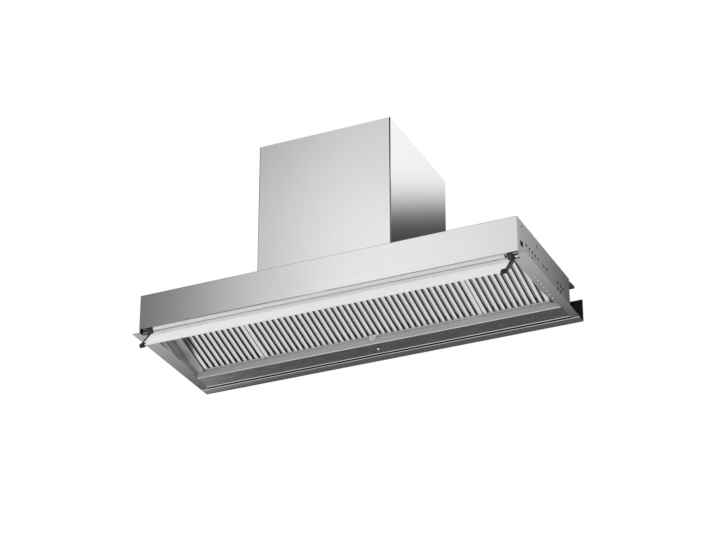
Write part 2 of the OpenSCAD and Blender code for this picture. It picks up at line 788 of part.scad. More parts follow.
// Electrical box on the right wall of the blower box
ctrl_w = 180;
ctrl_h = 160;
ctrl_d = 38;
ctrl_lift = 50;
ctrl_x0 = blower_w / 2;
ctrl_x1 = ctrl_x0 + ctrl_d;
ctrl_y0 = chimney_mid_y - ctrl_w / 2;
ctrl_y1 = chimney_mid_y + ctrl_w / 2;
ctrl_z0 = body_h + ctrl_lift;
ctrl_z1 = ctrl_z0 + ctrl_h;
gland_r = 4.5;
gland_x = ctrl_x0 + ctrl_d / 2;
gland_y = ctrl_y1 - 50;
module control_box() {
  color(galvanised) hung() difference() {
    block([ctrl_x0, ctrl_x1], [ctrl_y0, ctrl_y1], [ctrl_z0, ctrl_z1]);
    block([ctrl_x0 + sheet_t, ctrl_x1 + 1], [ctrl_y0 + sheet_t, ctrl_y1 - sheet_t],
          [ctrl_z0 + sheet_t, ctrl_z1 - sheet_t]);
    rod_z(ctrl_z1 - 3, ctrl_z1 + 3, gland_x, gland_y, gland_r + 4);
  }
}

lid_screw_inset = 8;
module control_box_lid() {
  color(galvanised) hung() union() {
    block([ctrl_x1, ctrl_x1 + sheet_t], [ctrl_y0, ctrl_y1], [ctrl_z0, ctrl_z1]);
    for (y = [ctrl_y0 + lid_screw_inset, ctrl_y1 - lid_screw_inset],
         z = [ctrl_z0 + lid_screw_inset, ctrl_z1 - lid_screw_inset])
      rod_x(ctrl_x1 + sheet_t, ctrl_x1 + sheet_t + 1.6, y, z, 3);
  }
}

// Board on four standoffs, with three relays and a transformer
board_w = 80;
board_h = 110;
board_t = 1.6;
standoff_h = 8;
standoff_r = 2.5;
relay = [14.4, 18, 24];
relay_pitch = 32;
transformer = [18.4, 30, 36];
module circuit_board() {
  x0 = ctrl_x0 + standoff_h;
  x1 = x0 + board_t;
  y0 = ctrl_y0 + 12;
  z0 = ctrl_z0 + 14;
  corner = 2 * standoff_r;
  color([0.1, 0.35, 0.2]) hung() union() {
    block([x0, x1], [y0, y0 + board_w], [z0, z0 + board_h]);
    for (y = [y0 + corner, y0 + board_w - corner], z = [z0 + corner, z0 + board_h - corner])
      rod_x(ctrl_x0 + sheet_t, x0 + eps, y, z, standoff_r);
    for (i = [0:2])
      translate([x1 - eps, y0 + 10, z0 + 12 + i * relay_pitch]) cube(relay);
    translate([x1 - eps, y0 + 42, z0 + 20]) cube(transformer);
  }
}

// Motor capacitor, standing on the floor of the control box
cap_r = 15;
cap_h = 60;
cap_neck = 3;
tag = [0.8, 6, 9];
module capacitor() {
  cap_y = ctrl_y1 - 2 * cap_r - 2;
  cap_x = ctrl_x0 + sheet_t + cap_r;
  cap_z = ctrl_z0 + cap_h;
  color(steel) hung() union() {
    rod_z(ctrl_z0 + sheet_t, cap_z, cap_x, cap_y, cap_r);
    rod_z(cap_z - eps, cap_z + cap_neck, cap_x, cap_y, cap_r - 3);
    for (y = [-tag[1] - 1, 1])
      translate([cap_x - tag[0] / 2, cap_y + y, cap_z + cap_neck - eps]) cube(tag);
  }
}

// Three-way terminal block behind the gland
terminal = [18, 30, 22];
way_pitch = terminal[1] / 3;
module terminal_block() {
  y0 = gland_y - terminal[1] / 2;
  z0 = ctrl_z1 - 52;
  color(frosted) hung() difference() {
    block([ctrl_x0 + sheet_t, ctrl_x0 + terminal[0]], [y0, y0 + terminal[1]], [z0, z0 + terminal[2]]);
    for (i = [0:2])
      rod_z(z0 - 1, z0 + terminal[2] + 1, ctrl_x0 + 8, y0 + (i + 0.5) * way_pitch, 2);
    for (i = [0:2], z = [z0 + 6, z0 + terminal[2] - 6])
      rod_x(ctrl_x0 + 12, ctrl_x0 + terminal[0] + 1, y0 + (i + 0.5) * way_pitch, z, 1.8);
  }
}

// Gland for the supply cable, on top of the control box
module cable_gland() {
  color(black) hung() translate([gland_x, gland_y, ctrl_z1]) difference() {
    union() {
      rod_z(-6, 1, 0, 0, gland_r + 3.9);
      rod_z(-8, -sheet_t, 0, 0, gland_r + 6.5);
      linear_z(0, 6) circle(r = gland_r + 8, $fn = 6);
      rod_z(6, 16, 0, 0, gland_r + 5);
    }
    rod_z(-9, 17, 0, 0, gland_r);
  }
}

// Where the visor's stop pins stand, taken from its open angle
stop_y = hinge_y - stop_s * cos(visor_angle) - stop_n * sin(visor_angle);
stop_z = hinge_z - stop_s * sin(visor_angle) + stop_n * cos(visor_angle);

// Frosted glass of the visor
module visor_glass() {
  color(frosted) hung() on_visor()
    block([-glass_w / 2, glass_w / 2], [glass_s0, glass_s1], [glass_n0, glass_n1]);
}

// Arm of the visor: an eye on the hinge pin, a bar and the ledge under the glass
arm_eye_r = 8;
arm_low = -3.5;
module visor_arm(side) {
  tip = glass_s1 - 2;
  color(black) hung() on_side(side) on_visor() difference() {
    union() {
      rod_x(arm_x0, arm_x1, 0, 0, arm_eye_r);
      along_x(arm_x0, arm_x1) polygon([
        [-4, 0], [-4, glass_n1], [tip, glass_n1], [tip, glass_n0 - 2], [30, arm_low], [0, -6]
      ]);
      block([arm_x0 - 16, arm_x0 + eps], [glass_s0 + 3, tip], [glass_n0 - 2, glass_n0]);
    }
    rod_x(arm_x0 - 1, arm_x1 + 1, 0, 0, visor_pin_r + pin_gap);
    block([arm_x0 - 20, arm_x0 - eps], [-6, 6], [-6, visor_pin_r + 1]);
  }
}

// Feet that clamp the glass's lower corners to the arms
module visor_clips() {
  color(black) hung() both_sides() on_visor() difference() {
    block([arm_x0 - 11, arm_x1], [glass_s1 - 12, glass_s1 + 3], [glass_n0 - 4, glass_n1 + 2]);
    block([arm_x0 - 12, arm_x0 - 1], [glass_s1 - 13, glass_s1], [glass_n0, glass_n1]);
    block([arm_x0 - 17, arm_x1 + 1], [glass_s1 - 13, glass_s1 - 2], [glass_n0 - 2, glass_n1 - eps]);
    block([arm_x0 - 1, arm_x1 + 1], [glass_s1 - 13, glass_s1 - 2], [glass_n0 - 5, glass_n1]);
  }
}

// Pins that the visor's arms turn on
module visor_pivot_pins() {
  color(black) hung() both_sides()
    rod_x(arm_x0 - 0.5, liner_x + 0.5, hinge_y, hinge_z, visor_pin_r);
}

// Pins in front of them, which carry the stop blocks
module visor_stop_pins() {
  color(black) hung() both_sides()
    rod_x(arm_x0 - 8, liner_x + 0.5, stop_y, stop_z, stop_pin_r);
}

// Rubber blocks that the open visor rests against
module visor_stop_blocks() {
  color([0.05, 0.05, 0.05]) hung() both_sides() difference() {
    on_visor() union() {
      rod_x(arm_x0 - 7, arm_x1, stop_s, stop_n, 6);
      block([arm_x0 - 7, arm_x1], [stop_s - 6, stop_s + 6], [glass_n1 + 0.3, stop_n]);
    }
    rod_x(arm_x0 - 20, liner_x, stop_y, stop_z, stop_pin_r + seat_gap);
  }
}

// Half width of a filter of width w, less its share of the gaps
function filter_half(w) = (w - filter_gap) / 2;
// Number of slots across a filter of width w, and the first slot's place from its middle
function slot_count(w) = round((w - 2 * edge_band) / slot_pitch) + 1;
function slot_x(w, i) = (i - (slot_count(w) - 1) / 2) * slot_pitch;

// Frame of a filter: a tray with a lip all round, open below and above the baffles
module filter_frame(w, mid, hooks) {
  h = filter_half(w);
  first = slot_x(w, 0) - slot_w / 2;
  color(steel) hung() translate([mid, 0, 0]) on_slope() difference() {
    union() {
      difference() {
        block([-h, h], [0, filter_l], [0, filter_t]);
        block([-h + frame_t, h - frame_t], [frame_t, filter_l - frame_t], [lip, filter_t - frame_t]);
        block([first, -first], [end_band, filter_l - end_band], [-1, lip + 1]);
        block([first, -first], [end_band, filter_l - end_band], [filter_t - 2, filter_t + 1]);
      }
      for (x = hooks) hook(x);
    }
    if (mid == 0) {
      // Slots for the latch's tongue and its bolt
      block([-tongue_w / 2 - 0.4, tongue_w / 2 + 0.4],
            [tongue_s - latch_travel - 0.4, tongue_s + tongue_t + 0.4], [-1, lip + 0.5]);
      block([-tongue_w / 2 - 0.4, tongue_w / 2 + 0.4],
            [filter_l - frame_t - 1, filter_l + 1], [latch_n - 0.3, latch_n + tongue_t + 0.3]);
    }
  }
}

// Hook that hangs a filter's front edge on the round bar
module hook(x) {
  r = bar_r + hook_gap;
  along_x(x - hook_w / 2, x + hook_w / 2) {
    difference() {
      translate([bar_s, bar_n]) circle(r = r + hook_t);
      translate([bar_s, bar_n]) circle(r = r);
      translate([bar_s - 20, bar_n - 40]) square([40, 40]);
    }
    translate([bar_s, bar_n + r]) square([-bar_s + frame_t / 2, hook_t]);
  }
}

// Lower baffles: upturned channels between the slots
baffle_rise = 6.2;
baffle_lap = 2.3;
module lower_baffles(w, mid) {
  half = (slot_pitch - slot_w) / 2;
  color(steel) hung() translate([mid, 0, 0]) on_slope()
    for (i = [0:slot_count(w) - 2])
      translate([slot_x(w, i) + slot_pitch / 2, 0, lip])
        along_slope(end_band - baffle_lap, filter_l - end_band + baffle_lap) polygon([
          [-half, 0], [half, 0], [half, baffle_rise], [half - baffle_t, baffle_rise],
          [half - baffle_t, baffle_t], [-half + baffle_t, baffle_t],
          [-half + baffle_t, baffle_rise], [-half, baffle_rise]
        ]);
}

// Upper baffles: downturned channels over the slots
module upper_baffles(w, mid) {
  half = slot_w / 2 + 3.4;
  top = filter_t - frame_t;
  drop = top - lip - 3;
  color(inner_steel) hung() translate([mid, 0, 0]) on_slope()
    for (i = [0:slot_count(w) - 1])
      translate([slot_x(w, i), 0, top])
        along_slope(frame_t, filter_l - frame_t) polygon([
          [-half, 0], [half, 0], [half, -drop], [half - baffle_t, -drop],
          [half - baffle_t, -baffle_t], [-half + baffle_t, -baffle_t],
          [-half + baffle_t, -drop], [-half, -drop]
        ]);
}

// A profile drawn in (x, n), carried along s
module along_slope(s0, s1) {
  translate([0, s1, 0])
    rotate([90, 0, 0]) linear_extrude(s1 - s0) children();
}

// Latch of the centre filter: a pull tongue below and a bolt through the rear edge
tongue_w = 22;
tongue_t = 1.5;
tongue_l = 15;
tongue_s = filter_l - frame_t - 2.3;
latch_n = lip + 0.3;
latch_s0 = filter_l - end_band + baffle_lap + latch_travel + 0.2;
bolt_reach = 3.8;
module filter_latch() {
  color(steel) hung() on_slope() {
    block([-tongue_w / 2, tongue_w / 2], [latch_s0, filter_l + bolt_reach],
          [latch_n, latch_n + tongue_t]);
    // Round end of the tongue, below the filter
    difference() {
      translate([0, tongue_s + tongue_t, -tongue_l + tongue_w / 2])
        rotate([90, 0, 0]) cylinder(r = tongue_w / 2, h = tongue_t);
      block([-tongue_w, tongue_w], [tongue_s - 1, tongue_s + tongue_t + 1], [0, tongue_w]);
    }
    block([-tongue_w / 2, tongue_w / 2], [tongue_s, tongue_s + tongue_t],
          [-tongue_l + tongue_w / 2, latch_n + tongue_t]);
  }
}

// Bowed leaf spring between the latch and the end of the middle baffle
leaf_w = 20;
leaf_t = 0.3;
module latch_spring() {
  bow = latch_travel;
  r = leaf_w * leaf_w / (8 * bow) + bow / 2;
  color(steel) hung() on_slope()
    translate([0, latch_s0 - bow - 0.05, latch_n]) linear_extrude(tongue_t)
      intersection() {
        difference() {
          translate([0, r]) circle(r = r, $fn = 96);
          translate([0, r]) circle(r = r - leaf_t, $fn = 96);
        }
        translate([-leaf_w / 2, -1]) square([leaf_w, bow + 1]);
      }
}

// Push button in the rear rim
module power_button() {
  color(steel) hung() union() {
    rod_z(-1.6, 8, button_x, button_y, button_r);
    rod_z(4, 8, button_x, button_y, button_r + 1.5);
  }
}

// Body of the switch, with the bezel that the button passes through
module switch_body() {
  color(black) hung() difference() {
    union() {
      rod_z(-0.6, 0, button_x, button_y, bezel_r + 1.5);
      rod_z(-0.3, sheet_t + eps, button_x, button_y, bezel_r);
      rod_z(sheet_t, 26, button_x, button_y, bezel_r + 2);
      translate([button_x, button_y, 0]) linear_z(sheet_t, sheet_t + 3) circle(r = bezel_r + 5, $fn = 6);
    }
    rod_z(-2, 10, button_x, button_y, button_r + 0.05);
    rod_z(3.9, 20, button_x, button_y, button_r + 1.6);
  }
}

fascia();
front_rim();
side_panel(-1);  // side_panel_left
side_panel(1);  // side_panel_right
inner_liner(-1);  // inner_liner_left
inner_liner(1);  // inner_liner_right
top_panel();
rear_panel();
rear_channel();
closing_strip();
corner_plates();
wall_bracket(-1);  // wall_bracket_left
wall_bracket(1);  // wall_bracket_right
bracket_bolts();
front_plenum();
filter_hook_bar();
filter_rail(-1);  // filter_rail_left
filter_rail(1);  // filter_rail_right
chimney_cover();
chimney_foot_angles();
chimney_wall_bracket();
chimney_screws();
blower_box();
blower_scroll();
inlet_rings();
motor();
motor_mount();
motor_shaft();
impeller();
impeller_blades();
duct_collar();
flap(-1);  // flap_left
flap(1);  // flap_right
flap_pin();
control_box();
control_box_lid();
circuit_board();
capacitor();
terminal_block();
cable_gland();
visor_glass();
visor_arm(-1);  // visor_arm_left
visor_arm(1);  // visor_arm_right
visor_clips();
visor_pivot_pins();
visor_stop_pins();
visor_stop_blocks();
filter_frame(side_filter_w, -side_mid_x, [-side_hook_x, side_hook_x]);  // filter_frame_left
filter_frame(centre_w, 0, [-centre_hook_x, 0, centre_hook_x]);  // filter_frame_centre
filter_frame(side_filter_w, side_mid_x, [-side_hook_x, side_hook_x]);  // filter_frame_right
lower_baffles(side_filter_w, -side_mid_x);  // lower_baffles_left
lower_baffles(centre_w, 0);  // lower_baffles_centre
lower_baffles(side_filter_w, side_mid_x);  // lower_baffles_right
upper_baffles(side_filter_w, -side_mid_x);  // upper_baffles_left
upper_baffles(centre_w, 0);  // upper_baffles_centre
upper_baffles(side_filter_w, side_mid_x);  // upper_baffles_right
filter_latch();
latch_spring();
power_button();
switch_body();
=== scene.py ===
# %% [markdown]
# # A wall canopy hood, seen from below
#
# The solids of this hood come from its construction model: sheet-metal skins, filters, blower,
# visor. This lesson gives them their finish. A hood is nearly all stainless sheet, so most of the
# work is in three things: how brushed steel reflects a studio, how folded edges catch a thin line
# of light, and how the rolled bars of the grease filters turn light into stripes.
#
# Everything is in metres. X runs to the right, Y towards the wall and Z up, and the origin is
# midway between the two wall screws.

# %% Load the hood's solids
import json
import math

import bmesh
import bpy
from mathutils import Matrix, Vector

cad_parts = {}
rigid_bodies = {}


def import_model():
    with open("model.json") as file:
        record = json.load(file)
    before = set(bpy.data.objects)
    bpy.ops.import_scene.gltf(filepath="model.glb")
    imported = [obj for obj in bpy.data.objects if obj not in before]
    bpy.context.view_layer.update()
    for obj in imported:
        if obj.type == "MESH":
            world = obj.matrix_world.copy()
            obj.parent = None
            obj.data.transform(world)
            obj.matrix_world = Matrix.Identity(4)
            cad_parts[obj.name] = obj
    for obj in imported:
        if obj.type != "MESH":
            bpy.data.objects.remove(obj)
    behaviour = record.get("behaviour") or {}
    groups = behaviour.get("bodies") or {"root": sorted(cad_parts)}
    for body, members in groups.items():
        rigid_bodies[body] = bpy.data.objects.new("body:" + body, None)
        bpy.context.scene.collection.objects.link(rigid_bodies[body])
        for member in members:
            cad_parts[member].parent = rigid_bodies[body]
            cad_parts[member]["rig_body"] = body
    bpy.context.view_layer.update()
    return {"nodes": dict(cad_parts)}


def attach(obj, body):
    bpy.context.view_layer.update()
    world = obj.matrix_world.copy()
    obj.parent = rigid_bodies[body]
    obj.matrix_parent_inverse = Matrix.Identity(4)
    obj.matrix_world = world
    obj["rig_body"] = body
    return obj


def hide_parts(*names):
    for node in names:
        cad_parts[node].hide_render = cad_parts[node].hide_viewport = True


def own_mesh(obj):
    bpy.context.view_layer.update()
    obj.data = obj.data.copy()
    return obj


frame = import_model()
nodes = frame["nodes"]
print("nodes:", len(nodes))

# %% [markdown]
# ## The places that several pieces share
#
# The construction model measures from the canopy's own front and underside. The same sizes are
# repeated here, so that a row of rivets or a filter bar lands where the sheet under it is. `place`
# turns such a measure, in millimetres, into the scene's metres.

# %% Sizes shared with the construction model
mm = 0.001
SIDES = {"left": -1, "right": 1}
HOOD_W = 1200.0
HOOD_D = 425.0
BODY_H = 123.0
WALL_Y = 473.0
SCREW_H = 107.0
CHIMNEY_W = 428.0
CHIMNEY_TOP = 543.0
RECESS_Y = 356.0
SHEET = 1.2
BAY_HALF = 566.2
FLANGE_W = 23.0
STRIP_Y = 438.0
LATCH_ROOM = 15.0
FILTER_FRONT = (79.0, 103.1)
FILTER_REAR = (352.0, 21.2)
SLOPE = math.atan2(FILTER_FRONT[1] - FILTER_REAR[1], FILTER_REAR[0] - FILTER_FRONT[0])
FILTER_L = (FILTER_REAR[0] - FILTER_FRONT[0]) / math.cos(SLOPE)


def place(x, y, z):
    """Canopy measures in mm to a point of the scene in metres."""
    return Vector((x / 1000, (y - WALL_Y) / 1000, (z - SCREW_H) / 1000))


def on_slope(x, s, n):
    """A point of the filters' plane: s runs down the slope, n is square to it, upwards."""
    y = FILTER_FRONT[0] + s * math.cos(SLOPE) + n * math.sin(SLOPE)
    z = FILTER_FRONT[1] - s * math.sin(SLOPE) + n * math.cos(SLOPE)
    return place(x, y, z)


print("filter slope", round(math.degrees(SLOPE), 2), "deg, length", round(FILTER_L, 1), "mm")

# %% [markdown]
# ## The camera
#
# The camera stands low, in front and to the right of the hood, and looks up at it. Its place and
# its long lens were found from the straight edges of the canopy and the chimney. A long lens far
# away keeps the verticals nearly parallel, and with no roll they stay upright.

# %% Place the camera
CAMERA_SPOT = (2.61342, -5.95061, -3.17669)
CAMERA_RISE, CAMERA_TURN = 27.4366, 24.543


def new_object(name, data):
    """A new object with this data, linked to the scene."""
    made = bpy.data.objects.new(name, data)
    bpy.context.scene.collection.objects.link(made)
    return made


camera_data = bpy.data.cameras.new("camera")
camera_data.sensor_width = 36.0
camera_data.sensor_fit = "HORIZONTAL"
camera_data.lens = 119.315
camera_data.clip_end = 60.0
camera = new_object("camera", camera_data)
camera.location = CAMERA_SPOT
camera.rotation_euler = (math.radians(90 + CAMERA_RISE), 0.0, math.radians(CAMERA_TURN))
bpy.context.scene.camera = camera
bpy.context.scene.view_settings.view_transform = "Standard"
print("camera at", tuple(round(v, 3) for v in camera.location))

# %% [markdown]
# ## Node helpers
#
# A material here is a small graph. These helpers only save typing: they add a node and set its
# plain values, join two sockets, spread a noise over a range or mix two colours by it.

# %% Helpers for node graphs


def add_node(tree, kind, **values):
    """A new node. A value whose name is a socket's goes to that socket, any other to the node."""
    made = tree.nodes.new(kind)
    sockets = {s.name.lower(): s for s in made.inputs}
    for key, value in values.items():
        if hasattr(made, key):
            setattr(made, key, value)
        else:
            sockets[key.replace("_", " ").lower()].default_value = value
    return made


def join(tree, out, into):
    tree.links.new(out, into)


def wire(tree, *links):
    """Joins nodes. Each link is a node, its output, another node and its input."""
    for source, out, target, into in links:
        join(tree, source.outputs[out], target.inputs[into])


def start_material(name, colour, metallic, roughness, **sockets):
    """A material with its shader set to plain values, and its tree and shader for more."""
    material = bpy.data.materials.new(name)
    material.use_nodes = True
    shader = material.node_tree.nodes["Principled BSDF"]
    shader.inputs["Base Color"].default_value = (*colour, 1.0)
    shader.inputs["Metallic"].default_value = metallic
    shader.inputs["Roughness"].default_value = roughness
    for key, value in sockets.items():
        shader.inputs[key.replace("_", " ")].default_value = value
    return material, material.node_tree, shader


def stretched_noise(tree, scale, detail=2.0, roughness=0.5):
    """Noise on the object's own coordinates, with one scale, in cells per metre, for each axis."""
    coordinates = add_node(tree, "ShaderNodeTexCoord")
    mapping = add_node(tree, "ShaderNodeMapping")
    mapping.inputs["Scale"].default_value = scale
    noise = add_node(tree, "ShaderNodeTexNoise", Scale=1.0, Detail=detail, Roughness=roughness)
    wire(tree, (coordinates, "Object", mapping, "Vector"), (mapping, "Vector", noise, "Vector"))
    return noise


def ranged(tree, source, low, high, start=0.3, end=0.7, **values):
    """The source's values from start to end, spread over low to high."""
    node = add_node(tree, "ShaderNodeMapRange", **values)
    for label, value in zip(("From Min", "From Max", "To Min", "To Max"), (start, end, low, high)):
        node.inputs[label].default_value = value
    join(tree, source, node.inputs["Value"])
    return node.outputs["Result"]


def mixed(tree, factor, first, second):
    """A colour between two, chosen by a factor. Each of the two is a colour or a socket."""
    mix = add_node(tree, "ShaderNodeMix", data_type="RGBA")
    for socket, value in zip([s for s in mix.inputs if s.type == "RGBA"], (first, second)):
        if isinstance(value, tuple):
            socket.default_value = (*value, 1.0)
        else:
            join(tree, value, socket)
    join(tree, factor, mix.inputs["Factor"])
    return [s for s in mix.outputs if s.type == "RGBA"][0]


def object_axis(tree, axis):
    """One of the object's own coordinates, as a socket."""
    split = add_node(tree, "ShaderNodeSeparateXYZ")
    wire(tree, (add_node(tree, "ShaderNodeTexCoord"), "Object", split, "Vector"))
    return split.outputs[axis]


def times(colour, factor):
    return tuple(c * factor for c in colour)


def dress_shader(tree, shader, colour, roughness):
    join(tree, colour, shader.inputs["Base Color"])
    join(tree, roughness, shader.inputs["Roughness"])


def bump(tree, shader, height, strength, distance):
    node = add_node(tree, "ShaderNodeBump", Strength=strength, Distance=distance)
    join(tree, height, node.inputs["Height"])
    wire(tree, (node, "Normal", shader, "Normal"))


print("helpers ready")

# %% [markdown]
# ## Brushed stainless skin
#
# The skin's grain is thousands of fine parallel scratches. They blur a reflection across the grain
# and keep it sharp along it. On the fascia the grain runs lengthwise, so the studio's light and
# dark shows as soft upright bands. On the chimney it runs upright. The shader's anisotropy does
# that, with a tangent that circles the upright axis. A noise stretched along the grain gives the
# scratches themselves, and a wide, faint cloud keeps the sheet from looking painted.

# %% Make the brushed skins


def brushed_skin(name, colour, grain, roughness, anisotropy, turn, scratch=0.06, spread=0.035):
    """Brushed sheet. grain is the noise scale for x, y and z: low along the scratches."""
    material, tree, shader = start_material(name, colour, 1.0, roughness,
                                            Anisotropic=anisotropy, Anisotropic_Rotation=turn)
    scratches = stretched_noise(tree, grain, detail=3.0, roughness=0.6)
    cloud = stretched_noise(tree, (2.5, 2.5, 2.5))
    clouded = ranged(tree, cloud.outputs["Fac"], 0.0, 1.0)
    dress_shader(tree, shader, mixed(tree, clouded, times(colour, 0.955), colour),
                 ranged(tree, scratches.outputs["Fac"], roughness - spread, roughness + spread))
    tangent = add_node(tree, "ShaderNodeTangent", direction_type="RADIAL", axis="Z")
    wire(tree, (tangent, "Tangent", shader, "Tangent"))
    bump(tree, shader, scratches.outputs["Fac"], scratch, 0.0002)
    return material


SKIN_COLOUR = (0.91, 0.915, 0.92)
lengthwise_skin = brushed_skin("skin_grain_lengthwise", SKIN_COLOUR, (5, 400, 900), 0.13, 0.85,
                               0.25)
upright_skin = brushed_skin("skin_grain_upright", SKIN_COLOUR, (900, 900, 5), 0.10, 0.80, 0.0,
                            scratch=0.025, spread=0.012)
print("brushed skins:", lengthwise_skin.name, upright_skin.name)

# %% [markdown]
# ## The plainer sheets
#
# The sides of the body are matt sheet, because a cabinet or a neighbour usually hides them. Their
# colour darkens towards the wall, which is painted shade. The inner sheets are half polished,
# which blurs less, and carry soft patches from the rollers. Zinc-coated parts inside show the
# zinc's crystals: patches a centimetre or so across, each turned its own way, which a Voronoi
# pattern gives.
#
# One function with a few settings makes all the plain sheets. It is easier to keep a dozen greys
# apart that way than in a dozen graphs.

# %% Helpers for plain and zinc-coated sheets
REAR_SHADE_Y = -0.045


def plain_sheet(name, colour, roughness, mottle, grain=(260, 260, 260), metallic=1.0, rear=None,
                clouds=(4, 4, 4)):
    """Plain sheet with faint clouds. Given a rear colour, its colour goes over to that one at the
    wall, which is painted shade.
    """
    material, tree, shader = start_material(name, colour, metallic, roughness)
    fine = stretched_noise(tree, grain)
    cloud = stretched_noise(tree, clouds, detail=3.0)
    clouded = ranged(tree, cloud.outputs["Fac"], 0.0, 1.0)
    shade = mixed(tree, clouded, times(colour, 1 - mottle), colour)
    # Painted shade: towards the wall the colour goes over to the rear colour.
    if rear:
        depth = ranged(tree, object_axis(tree, "Y"), 0.0, 1.0, -WALL_Y / 1000, REAR_SHADE_Y)
        speckle = ranged(tree, fine.outputs["Fac"], -0.08, 0.08)
        depth_and_grain = add_node(tree, "ShaderNodeMath", operation="ADD", use_clamp=True)
        join(tree, depth, depth_and_grain.inputs[0])
        join(tree, speckle, depth_and_grain.inputs[1])
        shade = mixed(tree, depth_and_grain.outputs["Value"], shade, rear)
    dress_shader(tree, shader, shade,
                 ranged(tree, fine.outputs["Fac"], roughness - 0.05, roughness + 0.06))
    bump(tree, shader, fine.outputs["Fac"], 0.05, 0.0002)
    return material


def zinc_sheet(name, colour, cells):
    material, tree, shader = start_material(name, colour, 1.0, 0.42)
    coordinates = add_node(tree, "ShaderNodeTexCoord")
    crystals = add_node(tree, "ShaderNodeTexVoronoi", Scale=cells)
    wire(tree, (coordinates, "Object", crystals, "Vector"))
    grey = add_node(tree, "ShaderNodeRGBToBW")
    wire(tree, (crystals, "Color", grey, "Color"))
    light = ranged(tree, grey.outputs["Val"], 0.0, 1.0, 0.1, 0.9)
    dress_shader(tree, shader, mixed(tree, light, times(colour, 0.78), colour),
                 ranged(tree, grey.outputs["Val"], 0.34, 0.52, 0.1, 0.9))
    fine = stretched_noise(tree, (300, 300, 300))
    bump(tree, shader, fine.outputs["Fac"], 0.04, 0.0002)
    return material


# %% Make the plain, inner and zinc-coated sheets
# Painted shade: the side and flange sheets darken towards the wall in their colour.
side_sheet = plain_sheet("side_sheet_rear_shade", (0.45, 0.455, 0.46), 0.42, 0.06, metallic=0.35,
                         rear=(0.095, 0.10, 0.102))
flange_sheet_rear_shade = plain_sheet("flange_sheet_rear_shade", (0.44, 0.445, 0.45), 0.40, 0.05, metallic=0.30,
                           rear=(0.092, 0.097, 0.099))
back_sheet = plain_sheet("plain_back_sheet", (0.50, 0.505, 0.51), 0.40, 0.08, metallic=0.35)
# Painted shade: a near-black copy of the sheet for the closing strip's front faces.
strip_painted_shade = plain_sheet("strip_front_painted_shade", (0.040, 0.043, 0.044), 0.35, 0.20)
# Painted dark reflection: a dark copy of the skin for the bends.
dark_reflection_bend = plain_sheet("bend_painted_dark_reflection", (0.15, 0.153, 0.155), 0.30, 0.05)
# Painted shade: black for hidden inner faces, so the holes and slits read dark.
black_painted_shade = plain_sheet("black_painted_shade", (0.012, 0.012, 0.013), 0.8, 0.2, metallic=0.0)
latch_plate = plain_sheet("latch_plate", (0.76, 0.765, 0.77), 0.35, 0.03, metallic=0.1)
bright_steel = plain_sheet("bright_steel", (0.78, 0.78, 0.79), 0.16, 0.03)
zinc = zinc_sheet("zinc_coated_sheet", (0.66, 0.68, 0.70), 75.0)

LENGTHWISE = (20, 500, 500)
rim_sheet = plain_sheet("satin_rim_sheet", (0.57, 0.575, 0.58), 0.45, 0.03, LENGTHWISE,
                        metallic=0.05)
# Painted light: a near-white copy of the rim's sheet lifts the shade in the front plenum.
plenum_sheet = plain_sheet("plenum_sheet", (0.84, 0.845, 0.845), 0.45, 0.03, LENGTHWISE,
                           metallic=0.0)
inner_sheet = plain_sheet("half_polished_sheet", (0.72, 0.73, 0.74), 0.17, 0.06, (40, 500, 500))
recess_sheet = plain_sheet("recess_sheet", (0.50, 0.505, 0.51), 0.42, 0.10, (60, 120, 240),
                           metallic=0.35)
liner_sheet = plain_sheet("liner_sheet", (0.56, 0.565, 0.57), 0.16, 0.42, (40, 500, 500),
                          clouds=(9, 7, 16))
rail_sheet = plain_sheet("rail_sheet", (0.50, 0.505, 0.51), 0.42, 0.35, (60, 90, 500),
                         metallic=0.2, clouds=(60, 14, 30))

DOWN_SLOPE = (500, 60, 500)
filter_sheet = plain_sheet("filter_sheet", (0.80, 0.805, 0.81), 0.24, 0.03, DOWN_SLOPE)
# Painted shade: darker copies of the filter sheet for the upper bars and for the bars' sides.
shaded_filter_sheet = plain_sheet("shaded_filter_sheet", (0.36, 0.365, 0.37), 0.34, 0.05,
                                  DOWN_SLOPE)
slot_side_painted_shade = plain_sheet("slot_side_painted_shade", (0.12, 0.122, 0.124), 0.34, 0.05, DOWN_SLOPE)
print("sheets:", ", ".join(m.name for m in bpy.data.materials))

# %% [markdown]
# ## Black parts, rubber and the electrical parts
#
# The moulded parts have a fine pebbled grain, and the painted ones a duller, coarser one. A grain
# this small doesn't need modelling: a bump and a little change of gloss say it. One function gives
# them all.

# %% Make the black, rubber and electrical materials


def grained_plastic(name, colour, roughness, grain, depth, **sockets):
    material, tree, shader = start_material(name, colour, 0.0, roughness, **sockets)
    pebbles = stretched_noise(tree, (grain, grain, grain))
    light = tuple(min(1.0, c * 1.25 + 0.004) for c in colour)
    pebbled = ranged(tree, pebbles.outputs["Fac"], 0.0, 1.0)
    dress_shader(tree, shader, mixed(tree, pebbled, colour, light),
                 ranged(tree, pebbles.outputs["Fac"], roughness - 0.06, roughness + 0.08))
    bump(tree, shader, pebbles.outputs["Fac"], depth, 0.0003)
    return material


black_plastic = grained_plastic("moulded_black_plastic", (0.022, 0.022, 0.024), 0.30, 900, 0.25)
black_paint = grained_plastic("black_paint", (0.010, 0.010, 0.011), 0.5, 350, 0.12,
                              Specular_IOR_Level=0.2)
stop_rubber = grained_plastic("stop_rubber", (0.030, 0.030, 0.031), 0.70, 500, 0.20)
motor_paint = grained_plastic("motor_paint", (0.055, 0.057, 0.062), 0.45, 420, 0.15)
board_mask = grained_plastic("board_solder_mask", (0.018, 0.12, 0.055), 0.30, 700, 0.05)
white_plastic = grained_plastic("white_plastic", (0.80, 0.80, 0.77), 0.45, 700, 0.10)
print("black parts, rubber and electrical materials ready")

